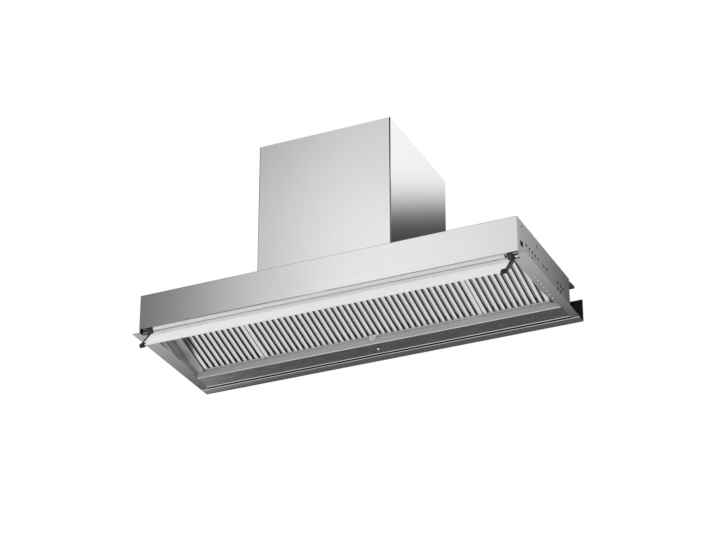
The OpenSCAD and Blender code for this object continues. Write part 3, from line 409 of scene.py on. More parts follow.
# %% [markdown]
# ## The etched glass
#
# The visor's glass is etched: it lets light through but blurs it, so the arm behind its end is only
# a soft shape. That is transmission with a high roughness. A little of the glass's own colour shows
# as green on its cut edges. Light that enters the pane also runs on inside it and comes out of the
# etched face in the canopy's shade. Path tracing would need many more samples for that, so a faint
# painted glow along that part of the pane stands for it and lifts the shade there.

# %% Make the etched glass
GLOW_Z = (-0.115, -0.091)
GLOW_COLOUR = (0.30, 0.305, 0.305, 1)

etched_glass, glass_tree, glass_shader = start_material(
    "etched_glass", (0.96, 0.97, 0.965), 0.0, 0.55, IOR=1.5, Transmission_Weight=0.18)
etch = stretched_noise(glass_tree, (600, 600, 600)).outputs["Fac"]
join(glass_tree, ranged(glass_tree, etch, 0.48, 0.62), glass_shader.inputs["Roughness"])
bump(glass_tree, glass_shader, etch, 0.08, 0.0002)
# Painted light: a glow on the pane's upper part, in the canopy's shade.
glow_ramp = add_node(glass_tree, "ShaderNodeValToRGB")
for element in glow_ramp.color_ramp.elements:
    element.color = (0, 0, 0, 1)
for spot, colour in ((0.60, GLOW_COLOUR), (0.72, (0, 0, 0, 1))):
    glow_ramp.color_ramp.elements.new(spot).color = colour
join(glass_tree, ranged(glass_tree, object_axis(glass_tree, "Z"), 0.0, 1.0, *GLOW_Z),
     glow_ramp.inputs["Fac"])
wire(glass_tree, (glow_ramp, "Color", glass_shader, "Emission Color"))
glass_shader.inputs["Emission Strength"].default_value = 1.0
glass_edge = grained_plastic("glass_edge", (0.50, 0.53, 0.52), 0.35, 500, 0.05)
print("glass:", etched_glass.name, "and", glass_edge.name)

# %% [markdown]
# ## Which finish goes on which solid
#
# One table says it all. Solids that are about to get a piece of their own take their finish here
# too, because the piece copies the solid's material slot.

# %% Put a finish on every solid
FINISH = {
    lengthwise_skin: "fascia closing_strip",
    rim_sheet: "front_rim",
    plenum_sheet: "front_plenum",
    upright_skin: "chimney_cover",
    side_sheet: "side_panel_left side_panel_right",
    back_sheet: "top_panel rear_panel corner_plates",
    liner_sheet: "inner_liner_left inner_liner_right",
    inner_sheet: "rear_channel",
    rail_sheet: "filter_rail_left filter_rail_right",
    filter_sheet: "filter_frame_left filter_frame_centre filter_frame_right lower_baffles_left "
                  "lower_baffles_centre lower_baffles_right upper_baffles_left "
                  "upper_baffles_centre upper_baffles_right",
    zinc: "bracket_bolts filter_hook_bar chimney_foot_angles chimney_wall_bracket blower_box "
          "blower_scroll inlet_rings motor_mount impeller impeller_blades duct_collar control_box "
          "control_box_lid",
    bright_steel: "chimney_screws motor_shaft flap_pin latch_spring",
    latch_plate: "filter_latch power_button",
    black_plastic: "visor_arm_right flap_left flap_right cable_gland switch_body",
    black_paint: "wall_bracket_left wall_bracket_right visor_pivot_pins visor_stop_pins "
                 "visor_arm_left visor_clips",
    stop_rubber: "visor_stop_blocks",
    motor_paint: "motor",
    board_mask: "circuit_board",
    white_plastic: "capacitor terminal_block",
    etched_glass: "visor_glass",
}
for material, names in FINISH.items():
    for name in names.split():
        mesh = nodes[name].data
        mesh.materials.clear()
        mesh.materials.append(material)
unfinished = sorted(set(nodes) - {n for names in FINISH.values() for n in names.split()})
print("solids without a finish:", unfinished or "none")

# %% [markdown]
# ## The studio
#
# Sheet metal shows the room more than it shows itself, so the room decides how it looks. The camera
# sees plain white behind the hood. Reflections see a studio made of smooth ramps: a bright wall in
# front, a dark flag to its left and another to the right, and bright air above a dark horizon at
# the back. The fascia, which looks into the front left of the room, fades from dark to bright along
# its length. The chimney's right side looks at the horizon at the back, so it turns from dark to
# white going up. Lamps could do this too, but a ramp round the whole room can be set degree by
# degree.

# %% Build the studio around the hood
world = bpy.data.worlds.new("studio")
bpy.context.scene.world = world
world.use_nodes = True
room = world.node_tree
room.nodes.clear()


def room_math(operation, first, second=None):
    node = add_node(room, "ShaderNodeMath", operation=operation)
    for socket, value in zip(node.inputs, (first, second)):
        if isinstance(value, (int, float)):
            socket.default_value = value
        elif value is not None:
            join(room, value, socket)
    return node.outputs["Value"]


def wall_ramp(factor, stops):
    """A smooth run of greys. Each stop is a place from 0 to 1 and a brightness."""
    ramp = add_node(room, "ShaderNodeValToRGB")
    ramp.color_ramp.interpolation = "EASE"
    while len(ramp.color_ramp.elements) < len(stops):
        ramp.color_ramp.elements.new(0.5)
    for element, (spot, grey) in zip(ramp.color_ramp.elements, stops):
        element.position = spot
        element.color = (grey, grey, grey, 1.0)
    join(room, factor, ramp.inputs["Fac"])
    return ramp.outputs["Color"]


def smooth(value, low, high):
    return ranged(room, value, 0.0, 1.0, low, high, interpolation_type="SMOOTHSTEP")


direction = add_node(room, "ShaderNodeTexCoord").outputs["Generated"]
split = add_node(room, "ShaderNodeSeparateXYZ")
join(room, direction, split.inputs["Vector"])
dir_x, dir_y, dir_z = (split.outputs[axis] for axis in "XYZ")
# Degrees round the room from straight in front of the fascia, positive to the right
ahead = room_math("MULTIPLY", dir_y, -1.0)
round_room = room_math("MULTIPLY", room_math("ARCTAN2", dir_x, ahead), 180 / math.pi)
height = room_math("MULTIPLY", room_math("ARCSINE", dir_z), 180 / math.pi)
turn = room_math("DIVIDE", room_math("ADD", round_room, 180.0), 360.0)


def round_ramp(stops):
    """A wall that changes round the room. stops gives the brightness at degrees from the front."""
    return wall_ramp(turn, [((spot + 180.0) / 360.0, grey) for spot, grey in stops.items()])


BLACK, DIM, WHITE = (0.0, 0.0, 0.0), (0.10, 0.10, 0.10), (1.0, 1.0, 1.0)
upper = round_ramp({-180: 0.60, -120: 0.80, -75: 0.75, -52: 0.24, -33: 0.09, -30.2: 0.13,
                    -27.4: 0.62, -25.2: 1.0, -23: 0.98, -18: 0.70, -4: 0.92, 14: 0.90,
                    34: 0.10, 84: 0.10, 104: 0.70, 180: 0.60})
upper = mixed(room, room_math("MULTIPLY", smooth(height, 27.8, 31.6), 0.27), upper, BLACK)
horizon = wall_ramp(smooth(height, 28.15, 30.0), [(0.0, 0.045), (1.0, 0.99)])
above = mixed(room, smooth(dir_y, 0.30, 0.62), upper, horizon)
lower = round_ramp({-180: 0.09, -159: 0.090, -151.8: 0.078, -149: 0.66, -135: 0.55, -90: 0.75,
                    0: 0.90, 90: 0.70, 140: 0.40, 165: 0.10, 180: 0.09})
shiny_room = mixed(room, smooth(height, -9.0, 3.0), lower, above)
shiny_room = mixed(room, smooth(height, 38.0, 52.0), shiny_room, DIM)
print("studio ramps:", len(room.nodes), "nodes")

# %% [markdown]
# ## One room for each kind of ray
#
# Polished metal needs the dark flags, but matt paint and plastic would only turn patchy under them.
# Light Path tells a camera ray from a glossy or a plain one, so the matt surfaces are lit by an
# even room, and the glass and the camera look out into white.

# %% Give each kind of ray its room
paths = add_node(room, "ShaderNodeLightPath")
plain_room = wall_ramp(smooth(height, -80.0, 80.0), [(0.0, 0.92), (0.5, 0.80), (1.0, 0.85)])
glossy_or_plain = mixed(room, paths.outputs["Is Glossy Ray"], plain_room, shiny_room)
seen = room_math("MAXIMUM", paths.outputs["Is Camera Ray"], paths.outputs["Is Transmission Ray"])
room_colour = mixed(room, seen, glossy_or_plain, WHITE)
background = add_node(room, "ShaderNodeBackground", Strength=1.0)
room_output = add_node(room, "ShaderNodeOutputWorld")
join(room, room_colour, background.inputs["Color"])
wire(room, (background, "Background", room_output, "Surface"))
print("camera and glass see white, metal sees the ramps")

# %% [markdown]
# ## Soft lamps
#
# Three wide lamps give the black and white parts their shape. They are large, so their shadows are
# soft, and no reflection shows them, because the studio's walls already do that work.

# %% Set the lamps


def soft_lamp(name, spot, target, size, watts):
    data = bpy.data.lights.new(name, "AREA")
    data.shape = "SQUARE"
    data.size = size
    data.energy = watts
    lamp = new_object(name, data)
    lamp.location = spot
    lamp.rotation_euler = (Vector(target) - Vector(spot)).to_track_quat("-Z", "Y").to_euler()
    lamp.visible_glossy = False
    lamp.visible_camera = False
    print(name, watts, "W")


soft_lamp("front_lamp", (-2.2, -4.2, 2.4), (0, -0.3, 0.1), 2.6, 60)
soft_lamp("right_lamp", (4.2, -1.6, -2.2), (0.1, -0.3, 0.1), 2.2, 70)
soft_lamp("low_lamp", (-0.6, -2.4, -3.2), (0, -0.3, 0.0), 2.4, 45)

# %% [markdown]
# ## The floor
#
# The floor lies far below, where a worktop would throw light back up into the canopy. Metal and
# glass see it glow evenly. The camera doesn't see it, so views from below look through it.

# %% Lay the floor
FLOOR_Z = -4.0
FLOOR_GREY = (0.86, 0.86, 0.86)


def to_mesh(shape, name):
    """A mesh from a bmesh, which is freed."""
    mesh = bpy.data.meshes.new(name)
    shape.to_mesh(mesh)
    shape.free()
    return mesh


disc = bmesh.new()
bmesh.ops.create_circle(disc, cap_ends=True, radius=5.0, segments=96)
floor_mesh = to_mesh(disc, "floor")
floor_mesh.transform(Matrix.Translation((0, 0, FLOOR_Z)))
floor = new_object("floor", floor_mesh)
floor_material, floor_tree, floor_shader = start_material("pale_floor", FLOOR_GREY, 0.0, 0.9)
glow = add_node(floor_tree, "ShaderNodeEmission", Color=(1, 1, 1, 1), Strength=0.85)
floor_paths = add_node(floor_tree, "ShaderNodeLightPath")
floor_seen = add_node(floor_tree, "ShaderNodeMath", operation="MAXIMUM")
floor_mix = add_node(floor_tree, "ShaderNodeMixShader")
wire(floor_tree, (floor_paths, "Is Glossy Ray", floor_seen, 0),
     (floor_paths, "Is Transmission Ray", floor_seen, 1), (floor_seen, "Value", floor_mix, "Fac"),
     (floor_shader, "BSDF", floor_mix, 1), (glow, "Emission", floor_mix, 2),
     (floor_mix, "Shader", floor_tree.nodes["Material Output"], "Surface"))
floor_mesh.materials.append(floor_material)
floor.visible_camera = False
print("floor at z", FLOOR_Z)

# %% [markdown]
# ## Folded sheets with real edges
#
# A folded sheet has no sharp edge: it has a bend, and a cut edge is dressed with a file. Those
# narrow round edges catch a thin line of light or dark that says "metal". A bevel in the shader
# would only bend the light, so the helper makes real ones. It copies a solid's shell, welds its
# loose triangles, clears the flat ones away and rounds what is left, with the widest rounding kept
# for edges that are bends. Only the narrow faces of the rounding are shaded smooth, so the flats
# stay flat.

# %% Helper that rounds a folded sheet
WELD = 2e-6
NARROW = 2.2


def folded(name, radius, bends=None, bend_radius=0.0, angle=40.0, cut=None):
    """A piece in place of node `name`: its shell with every edge rounded, chosen edges bent, and
    the box `cut`, a mesh, taken out of it first."""
    source = nodes[name]
    mesh = source.data.copy()
    shell = bmesh.new()
    shell.from_mesh(mesh)
    bmesh.ops.remove_doubles(shell, verts=shell.verts, dist=WELD)
    bmesh.ops.dissolve_limit(shell, angle_limit=math.radians(1.0), verts=shell.verts,
                             edges=shell.edges)
    if bends:
        chosen = [e for e in shell.edges if bends(e.verts[0].co, e.verts[1].co)]
        bmesh.ops.bevel(shell, geom=chosen, offset=bend_radius, segments=5, profile=0.5,
                        affect="EDGES", clamp_overlap=True)
    bmesh.ops.dissolve_degenerate(shell, dist=1e-6, edges=shell.edges)
    shell.to_mesh(mesh)
    shell.free()
    piece = new_object(name + "_sheet", mesh)
    mesh.name = piece.name
    if cut:
        cutter = new_object("cutter", cut)
        taken = piece.modifiers.new("opening", "BOOLEAN")
        taken.operation = "DIFFERENCE"
        taken.solver = "EXACT"
        taken.object = cutter
    edge = piece.modifiers.new("edges", "BEVEL")
    edge.width = radius
    edge.segments = 2
    edge.limit_method = "ANGLE"
    edge.angle_limit = math.radians(angle)
    bake(piece)
    if cut:
        bpy.data.objects.remove(cutter)
    smooth_narrow_faces(piece.data, NARROW * max(radius, bend_radius * 0.4))
    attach(piece, source["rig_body"])
    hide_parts(name)
    return piece


# %% Helpers that finish faces and find bends
def face_finish(piece, material, chooser):
    """Gives another material to the faces that chooser(face) picks."""
    piece.data.materials.append(material)
    slot = len(piece.data.materials) - 1
    for face in piece.data.polygons:
        if chooser(face):
            face.material_index = slot


def smooth_narrow_faces(mesh, width):
    """Smooth shading for faces narrower than width, and flat shading for the rest."""
    for face in mesh.polygons:
        ring = [mesh.vertices[i].co for i in face.vertices]
        around = sum((a - b).length for a, b in zip(ring, ring[1:] + ring[:1]))
        face.use_smooth = 2 * face.area < width * around


def bake(piece):
    """Applies the piece's modifiers: its evaluated shape becomes its plain mesh."""
    bpy.context.view_layer.update()
    graph = bpy.context.evaluated_depsgraph_get()
    made = bpy.data.meshes.new_from_object(piece.evaluated_get(graph),
                                           preserve_all_data_layers=True, depsgraph=graph)
    piece.modifiers.clear()
    old = piece.data
    piece.data = made
    made.name = piece.name
    if old.users == 0:
        bpy.data.meshes.remove(old)


def alike(a, b):
    """Whether two measures are the same, give or take a tenth of a millimetre."""
    return abs(a - b) < 0.1 * mm


def bend_along(y, z):
    """Picks the long edges that run left to right through (y, z) of the canopy's measures."""
    spot = place(0, y, z)

    def chosen(a, b):
        along = all(alike(p.y, spot.y) and alike(p.z, spot.z) for p in (a, b))
        return along and abs(a.x - b.x) > 0.01

    return chosen


print("folding helper ready")

# %% [markdown]
# ## The outer skins
#
# The fascia, its rim, the strip at the wall and the two sides are what a buyer sees and touches.
# The fascia's long edges are bent to a radius of a few millimetres, and the upper bend is painted
# darker: a painted dark reflection. The bends are real geometry, because the line of light along
# them is what shows that the fascia is one sheet.

# %% Round the outer skins
RIM_DROP = 12.0
SKIN_EDGES = {"front_rim": 0.4, "closing_strip": 0.5, "side_panel_left": 0.35,
              "side_panel_right": 0.35}


def fascia_bends(a, b):
    return bend_along(0, BODY_H)(a, b) or bend_along(0, RIM_DROP)(a, b)


sheets = {"fascia": folded("fascia", 0.3 * mm, fascia_bends, 3.4 * mm)}
for name, radius in SKIN_EDGES.items():
    sheets[name] = folded(name, radius * mm)
# Painted shade: the closing strip's front faces are near black.
face_finish(sheets["closing_strip"], strip_painted_shade, lambda f: f.normal.y < -0.5)
# Painted dark reflection along the fascia's upper bend.
face_finish(sheets["fascia"], dark_reflection_bend,
            lambda f: 0.08 < f.normal.z < 0.97 and f.center.y < place(0, 4, 0).y)
for piece in sheets.values():
    print(piece.name, len(piece.data.polygons), "faces")

# %% [markdown]
# ## The holes and the coated sides
# The sides have rows of small holes for a neighbour's screws. The sides' inner faces and the
# holes' walls are black: painted shade for the dark inside the body, which the holes show.
# Their rims are drawn a little wider than the die's size, because at this distance a hole of its
# true size would be lost between two pixels. Moving the rim's own points outwards keeps the sheet
# whole, which cutting a second time might not.

# %% Widen the holes and paint the sides' shade
ROW_START, ROW_PITCH = 70.0, 23.0
HOLE_R, SMALL_HOLE_R = 3.5, 2.5
HOLE_GROWTH = 1.4
EDGE_Y, EDGE_Z = 8, 6
ROWS = {62.0: (0, 1, 2, 3, 4, 6, 7, 11, 12, 13), 42.0: (11, 12)}
side_holes = [(ROW_START + ROW_PITCH * i, z, HOLE_R) for z, row in ROWS.items() for i in row]
side_holes += [(y, z, SMALL_HOLE_R) for y, z in ((154, 100), (113, 43), (38, 108))]


def widen_hole(mesh, spot, radius, factor):
    """Moves a hole's rim outwards."""
    for vertex in mesh.vertices:
        away = Vector((0, vertex.co.y - spot.y, vertex.co.z - spot.z))
        if away.length < radius * 1.25:
            vertex.co += away * (factor - 1)


edge_x = HOOD_W / 2 * mm
low, high = place(0, EDGE_Y, EDGE_Z), place(0, HOOD_D - EDGE_Y, BODY_H - EDGE_Z)


def in_a_hole(face):
    """A narrow face of the outer skin that lies away from its four edges."""
    centre = face.center
    return (abs(face.normal.x) < 0.97 and face.area < 4e-5 and abs(centre.x) < edge_x + 0.1 * mm
            and low.y < centre.y < high.y and low.z < centre.z < high.z)


for end, side in SIDES.items():
    piece = sheets["side_panel_" + end]
    face_finish(piece, flange_sheet_rear_shade,
                lambda f: f.normal.z < -0.5 and f.center.z < place(0, 0, 1).z)
    # Painted shade: the side's inner faces and its holes' walls are black.
    face_finish(piece, black_painted_shade,
                lambda f: f.normal.x * side < -0.5 and abs(f.center.x) < edge_x)
    for y, z, radius in side_holes:
        widen_hole(piece.data, place(0, y, z), radius * mm, HOLE_GROWTH)
    face_finish(piece, black_painted_shade, in_a_hole)
print(len(side_holes), "holes in each side")

# %% [markdown]
# ## The inner sheets, the rails and the glass
#
# Seen from below, the filters lie between two liners, two rails and the recess wall. The rails and
# the recess wall are bent, the rest have dressed edges only. A rail's edge beside the filter and
# the liners' hidden side are black: painted shade. The pane's ground edges are duller and greener
# than its faces.

# %% Round the inner sheets and the glass
INNER_EDGES = {"inner_liner_left": 0.35, "inner_liner_right": 0.35, "front_plenum": 0.4,
               "top_panel": 0.4, "rear_panel": 0.4, "visor_glass": 0.8,
               "wall_bracket_left": 0.5, "wall_bracket_right": 0.5}


def rail_edge(a, b):
    """The rail's long edges beside the filter."""
    inner = (BAY_HALF + 0.5) * mm
    return (a - b).length > 0.2 and all(alike(abs(p.x), inner) for p in (a, b))


inside = {"rear_channel": folded("rear_channel", 0.3 * mm, bend_along(RECESS_Y, 0), 2.4 * mm)}
for name, radius in INNER_EDGES.items():
    inside[name] = folded(name, radius * mm)
for end, side in SIDES.items():
    rail = folded("filter_rail_" + end, 0.3 * mm, rail_edge, 1.1 * mm, angle=60.0)
    inside["filter_rail_" + end] = rail
    # Painted shade: the liners' hidden side and the rails' edges beside the filter are black.
    face_finish(inside["inner_liner_" + end], black_painted_shade, lambda f: f.normal.x * side > 0.5)
    face_finish(rail, black_painted_shade,
                lambda f: abs(f.normal.x) > 0.2 and abs(f.center.x) < (BAY_HALF + 2.0) * mm)
face_finish(inside["rear_channel"], recess_sheet,
            lambda f: f.normal.y < -0.8 and f.center.y < place(0, RECESS_Y + 1, 0).y)
face_finish(inside["visor_glass"], glass_edge, lambda f: f.area < 0.01)
for piece in inside.values():
    print(piece.name, len(piece.data.polygons), "faces")

# %% [markdown]
# ## The chimney cover, drawn as a folded line
#
# The cover is one sheet bent into a U, with a narrow return at each rear edge. It could be cut from
# a box, but a sheet is easier to draw as what it is: a line of corners, a bend radius and a
# thickness. The helper walks the line, turns each corner into an arc, and keeps both faces of the
# sheet, so that the bend is rounder outside than inside. The section is then carried upwards.

# %% Helper that draws a bent sheet from its corners


def sheet_section(corners, thickness, bend, steps=6):
    """The two faces of a bent sheet as lists of 2D points. The corners run along one face, and the
    thickness lies to their left. bend is the radius outside each bend."""
    near, far = [], []
    for i, corner in enumerate(corners):
        spot = Vector(corner)
        before = spot - Vector(corners[i - 1]) if i else Vector(corners[1]) - spot
        after = Vector(corners[i + 1]) - spot if i + 1 < len(corners) else before
        before, after = before.normalized(), after.normalized()
        left = Vector((-before.y, before.x))
        turn = math.atan2(before.x * after.y - before.y * after.x, before.dot(after))
        if abs(turn) < 1e-6:
            near.append(spot)
            far.append(spot + left * thickness)
            continue
        side = math.copysign(1.0, turn)
        radius = bend if side > 0 else bend - thickness
        centre = spot - before * radius * math.tan(abs(turn) / 2) + left * radius * side
        for k in range(steps + 1):
            spoke = left.copy()
            spoke.rotate(Matrix.Rotation(turn * k / steps, 2))
            near.append(centre - spoke * radius * side)
            far.append(near[-1] + spoke * thickness)
    return near, far


def carried(name, near, far, stations, to_scene):
    """A closed sheet: the section between two lines of 2D points, carried through the stations."""
    sheet = bmesh.new()
    rings = []
    for station in stations:
        rings.append(([sheet.verts.new(to_scene(p.x, p.y, station)) for p in near],
                      [sheet.verts.new(to_scene(p.x, p.y, station)) for p in far]))
    last = len(near) - 1
    for (near_a, far_a), (near_b, far_b) in zip(rings, rings[1:]):
        for i in range(last):
            sheet.faces.new((near_a[i], near_a[i + 1], near_b[i + 1], near_b[i]))
            sheet.faces.new((far_a[i], far_b[i], far_b[i + 1], far_a[i + 1]))
        for i in (0, last):
            sheet.faces.new((near_a[i], near_b[i], far_b[i], far_a[i]))
    for near_end, far_end in (rings[0], rings[-1]):
        for i in range(last):
            sheet.faces.new((near_end[i], near_end[i + 1], far_end[i + 1], far_end[i]))
    bmesh.ops.recalc_face_normals(sheet, faces=sheet.faces)
    return new_object(name, to_mesh(sheet, name))


def finish_piece(piece, body, material, *replaced):
    """Material, body and the nodes that the piece stands for."""
    piece.data.materials.clear()
    piece.data.materials.append(material)
    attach(piece, body)
    if replaced:
        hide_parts(*replaced)


def smooth_by_angle(piece, degrees=35.0):
    piece.data.shade_smooth()
    piece.data.set_sharp_from_angle(angle=math.radians(degrees))


print("bent sheet helper ready")

# %% [markdown]
# ## The cover itself
#
# The cover stands on the canopy and hides the blower and the duct. Its two front bends are tight,
# and the front part of each bend is painted darker: a painted dark reflection.

# %% Make the chimney cover
CHIMNEY_FRONT = 3.0
CHIMNEY_BEND = 3.2
RETURN_W = 12.5
DARK_BEND_ARC = (4, 66)
w = CHIMNEY_W / 2
cover_line = [(-w + RETURN_W, HOOD_D), (-w, HOOD_D), (-w, CHIMNEY_FRONT), (w, CHIMNEY_FRONT),
              (w, HOOD_D), (w - RETURN_W, HOOD_D)]
cover_section = sheet_section(cover_line, SHEET, CHIMNEY_BEND, steps=12)
cover = carried("chimney_cover_sheet", *cover_section, (BODY_H, CHIMNEY_TOP), place)
smooth_narrow_faces(cover.data, 0.8 * mm)
finish_piece(cover, "hood", upright_skin, "chimney_cover")


def front_bend(face):
    """The front part of an upright front bend, which is painted dark: a painted dark reflection."""
    round_corner = math.degrees(math.atan2(abs(face.normal.x), -face.normal.y))
    at_corner = abs(face.normal.z) < 0.1 and abs(face.center.x) > (w - 4) * mm
    return at_corner and DARK_BEND_ARC[0] < round_corner < DARK_BEND_ARC[1]


# Painted dark reflection on the front part of each front bend.
face_finish(cover, dark_reflection_bend, front_bend)
print(cover.name, len(cover.data.polygons), "faces")

# %% [markdown]
# ## Rows made with Geometry Nodes
#
# A grease filter is a row of rolled bars, and a hood is held together by rows of rivets. Each row
# is one shape and a rule, so Geometry Nodes make it: a line of points, an instance of the shape on
# each, then Realize Instances so that the row is real mesh. The sizes are the tree's named inputs.

# %% Helpers that build and run a node tree for geometry


def geometry_tree(name, **inputs):
    """A tree with a geometry input, an output and one named input for each size or material."""
    tree = bpy.data.node_groups.new(name, "GeometryNodeTree")
    tree.interface.new_socket("Geometry", in_out="INPUT", socket_type="NodeSocketGeometry")
    for label, kind in inputs.items():
        tree.interface.new_socket(label, in_out="INPUT", socket_type="NodeSocket" + kind)
    tree.interface.new_socket("Geometry", in_out="OUTPUT", socket_type="NodeSocketGeometry")
    return tree, tree.nodes.new("NodeGroupInput"), tree.nodes.new("NodeGroupOutput")


def grow(piece, tree, **values):
    """Runs the tree on the piece with these values, and leaves the result as its plain mesh."""
    modifier = piece.modifiers.new(tree.name, "NODES")
    modifier.node_group = tree
    for item in tree.interface.items_tree:
        if item.item_type == "SOCKET" and item.in_out == "INPUT" and item.name in values:
            modifier[item.identifier] = values[item.name]
    bake(piece)


# %% Build the tree for a row of bars
row_tree, row_in, row_out = geometry_tree("row_of_slats", Count="Int", Step="Vector",
                                          Finish="Material")
line = add_node(row_tree, "GeometryNodeMeshLine", mode="OFFSET")
stand = row_tree.nodes.new("GeometryNodeInstanceOnPoints")
real = row_tree.nodes.new("GeometryNodeRealizeInstances")
dress = row_tree.nodes.new("GeometryNodeSetMaterial")
wire(row_tree, (row_in, "Count", line, "Count"), (row_in, "Step", line, "Offset"),
     (line, "Mesh", stand, "Points"), (row_in, "Geometry", stand, "Instance"),
     (stand, "Instances", real, "Geometry"), (real, "Geometry", dress, "Geometry"),
     (row_in, "Finish", dress, "Material"), (dress, "Geometry", row_out, "Geometry"))
print("tree:", row_tree.name, len(row_tree.nodes), "nodes")

# %% [markdown]
# ## The grease filters
#
# Each filter is a shallow tray with two layers of rolled bars. The lower bars stand between the
# slots and curl upwards. The upper bars arch over the slots and curl down, so the air has to turn
# twice and drops its grease. From below, a slot is dark on the side where the lower bar's lip hides
# the arch, and pales towards the other side, where the arch turns to the light. Only a rounded
# section gives that ramp, so each bar follows a squared circle. The upper bars, and the sides of
# the bars and the trays, are also coloured darker: painted shade inside the filter.

# %% Sizes and helpers for the filters' bars
PITCH = 19.4
SLOT_W = 9.0
END_BAND = 11.5
REAR_BAND = 5.0
BAR_LAP = 2.3
BAR_STEEL = 0.8
LIP = 1.2
FILTER_T = 14.0
SIDE_FILTER_W = 208.9
SIDE_FILTER_X = 461.75
FILTERS = {"left": (-SIDE_FILTER_X, SIDE_FILTER_W, 10), "centre": (0.0, 714.6, 36),
           "right": (SIDE_FILTER_X, SIDE_FILTER_W, 10)}


def rolled_section(half, base, depth, bend):
    """A bar's section, a flat back with its sides bent: half its width, the height of its back, how
    deep the sides reach and the bend's radius."""
    corners = [(-half, base + depth), (-half, base), (half, base), (half, base + depth)]
    if depth < 0:
        corners = corners[::-1]
    return sheet_section(corners, BAR_STEEL, bend, steps=4)


def row_of_bars(name, first_x, count, section, s0, s1, material, body, node):
    def to_scene(x, n, s):
        return on_slope(first_x + x, s, n)
    bar = carried(name, *section, (s0, s1), to_scene)
    grow(bar, row_tree, Count=count, Step=(PITCH * mm, 0.0, 0.0), Finish=material)
    smooth_by_angle(bar, 50.0)
    finish_piece(bar, body, material, node)
    # Painted shade: the bars' sides are dark.
    face_finish(bar, slot_side_painted_shade, lambda f: abs(f.normal.x) > 0.75)
    return bar


def shorten_middle_bar(bar):
    """The bar in front of the latch ends earlier, to leave the latch its way."""
    rear_end = place(0, 344.0, 0).y
    back = on_slope(0, END_BAND - REAR_BAND, 0) - on_slope(0, 0, 0)
    for vertex in bar.data.vertices:
        if abs(vertex.co.x) < 8 * mm and vertex.co.y > rear_end:
            vertex.co -= back


# %% Make the filters' bars
SEAT = 0.05
OVERHANG = 3.4
lower_section = rolled_section((PITCH - SLOT_W) / 2, SEAT, depth=6.9, bend=1.3)
upper_section = rolled_section(SLOT_W / 2 + OVERHANG, FILTER_T - LIP - SEAT, depth=-8.2, bend=6.4)
for side, (middle, width, slots) in FILTERS.items():
    body = "filter_" + side
    first = middle - (slots - 1) / 2 * PITCH
    lower = row_of_bars("lower_bars_" + side, first + PITCH / 2, slots - 1, lower_section,
                        END_BAND - BAR_LAP, FILTER_L - REAR_BAND + BAR_LAP, filter_sheet, body,
                        "lower_baffles_" + side)
    if side == "centre":
        shorten_middle_bar(lower)
    made = row_of_bars("upper_bars_" + side, first, slots, upper_section, LIP, FILTER_L - LIP,
                       shaded_filter_sheet, body, "upper_baffles_" + side)
    print(side, "filter:", slots, "slots,", len(made.data.polygons), "faces in the upper bars")

# %% [markdown]
# ## The filters' trays
#
# In the construction model the strips between the slots belong to the tray. Here the rolled bars
# stand for them, so the strips are cut out of the tray with a Boolean, and what is left is its rim,
# with edges rounded as a press leaves them. One cut box is simpler than drawing the rim anew.

# %% Make the trays
for side, (middle, width, slots) in FILTERS.items():
    reach = (slots - 1) / 2 * PITCH + SLOT_W / 2
    corners = [(x, s, n) for x in (middle - reach, middle + reach)
               for s in (END_BAND, FILTER_L - REAR_BAND) for n in (-2.0, LIP + 0.5)]
    opening = bmesh.new()
    bmesh.ops.convex_hull(opening, input=[opening.verts.new(on_slope(*c)) for c in corners])
    bmesh.ops.recalc_face_normals(opening, faces=opening.faces)
    edges_x = [(middle - width / 2 + 0.5) * mm, (middle + width / 2 - 0.5) * mm]

    def long_edges(a, b):
        """The tray's own long edges, which run down the slope."""
        return (a - b).length > 0.2 and any(alike(a.x, x) and alike(b.x, x) for x in edges_x)

    tray = folded("filter_frame_" + side, 0.45 * mm, long_edges, 1.1 * mm,
                  cut=to_mesh(opening, "opening_" + side))
    # Painted shade: the tray's side walls are dark.
    face_finish(tray, slot_side_painted_shade, lambda f: abs(f.normal.x) > 0.35)
    print(tray.name, len(tray.data.polygons), "faces")

# %% [markdown]
# ## Seals beside the filters
#
# A rubber strip closes the slit between each outer filter and its rail, with a thicker stop at the
# rear end. From below it draws a thin black line along the filter's edge. Rubber extrusion has one
# section all along, so the bent-sheet helper can carry it down the slope.

# %% Lay the seals
SEALS = {"seal_": (4.2, 1.2, 4.0, FILTER_L + 1),
         "seal_stop_": (6.4, 2.2, FILTER_L - 4.5, FILTER_L + 3)}
for name, side in SIDES.items():
    def beside_filter(x, n, s):
        return on_slope(side * x, s, n)
    for label, (width, thick, s0, s1) in SEALS.items():
        far_x = BAY_HALF + width
        line = [(BAY_HALF, thick * 0.8), (BAY_HALF, -thick), (far_x, -thick), (far_x, thick * 0.8)]
        strip = carried(label + name, *sheet_section(line, thick * 0.8, thick, steps=4), (s0, s1),
                        beside_filter)
        smooth_by_angle(strip)
        finish_piece(strip, "hood", stop_rubber)
print("seals laid")

# %% [markdown]
# ## Softer edges on the small parts
#
# Moulded parts leave their mould with rounded edges, and bent or pressed brackets have no sharp
# ones either. These parts keep their shape, only their edges are softened. A table of radii and
# names does, because nothing else differs between them.

# %% Soften the small parts
SMALL_PARTS = {
    0.6 * mm: "visor_arm_left visor_arm_right visor_clips visor_stop_blocks",
    0.35 * mm: "filter_latch chimney_wall_bracket chimney_foot_angles motor_mount corner_plates",
    0.5 * mm: "blower_box control_box control_box_lid capacitor terminal_block switch_body",
}
for radius, names in SMALL_PARTS.items():
    for name in names.split():
        part = folded(name, radius)
        print(name, len(part.data.polygons), "faces")

# %% [markdown]
# ## The latch's leaf spring
#
# The latch slides against a bowed leaf, which lies flat when the latch is pulled. A rigid leaf
# would run through the latch. Here the leaf only gets softened edges and a mesh of its own.

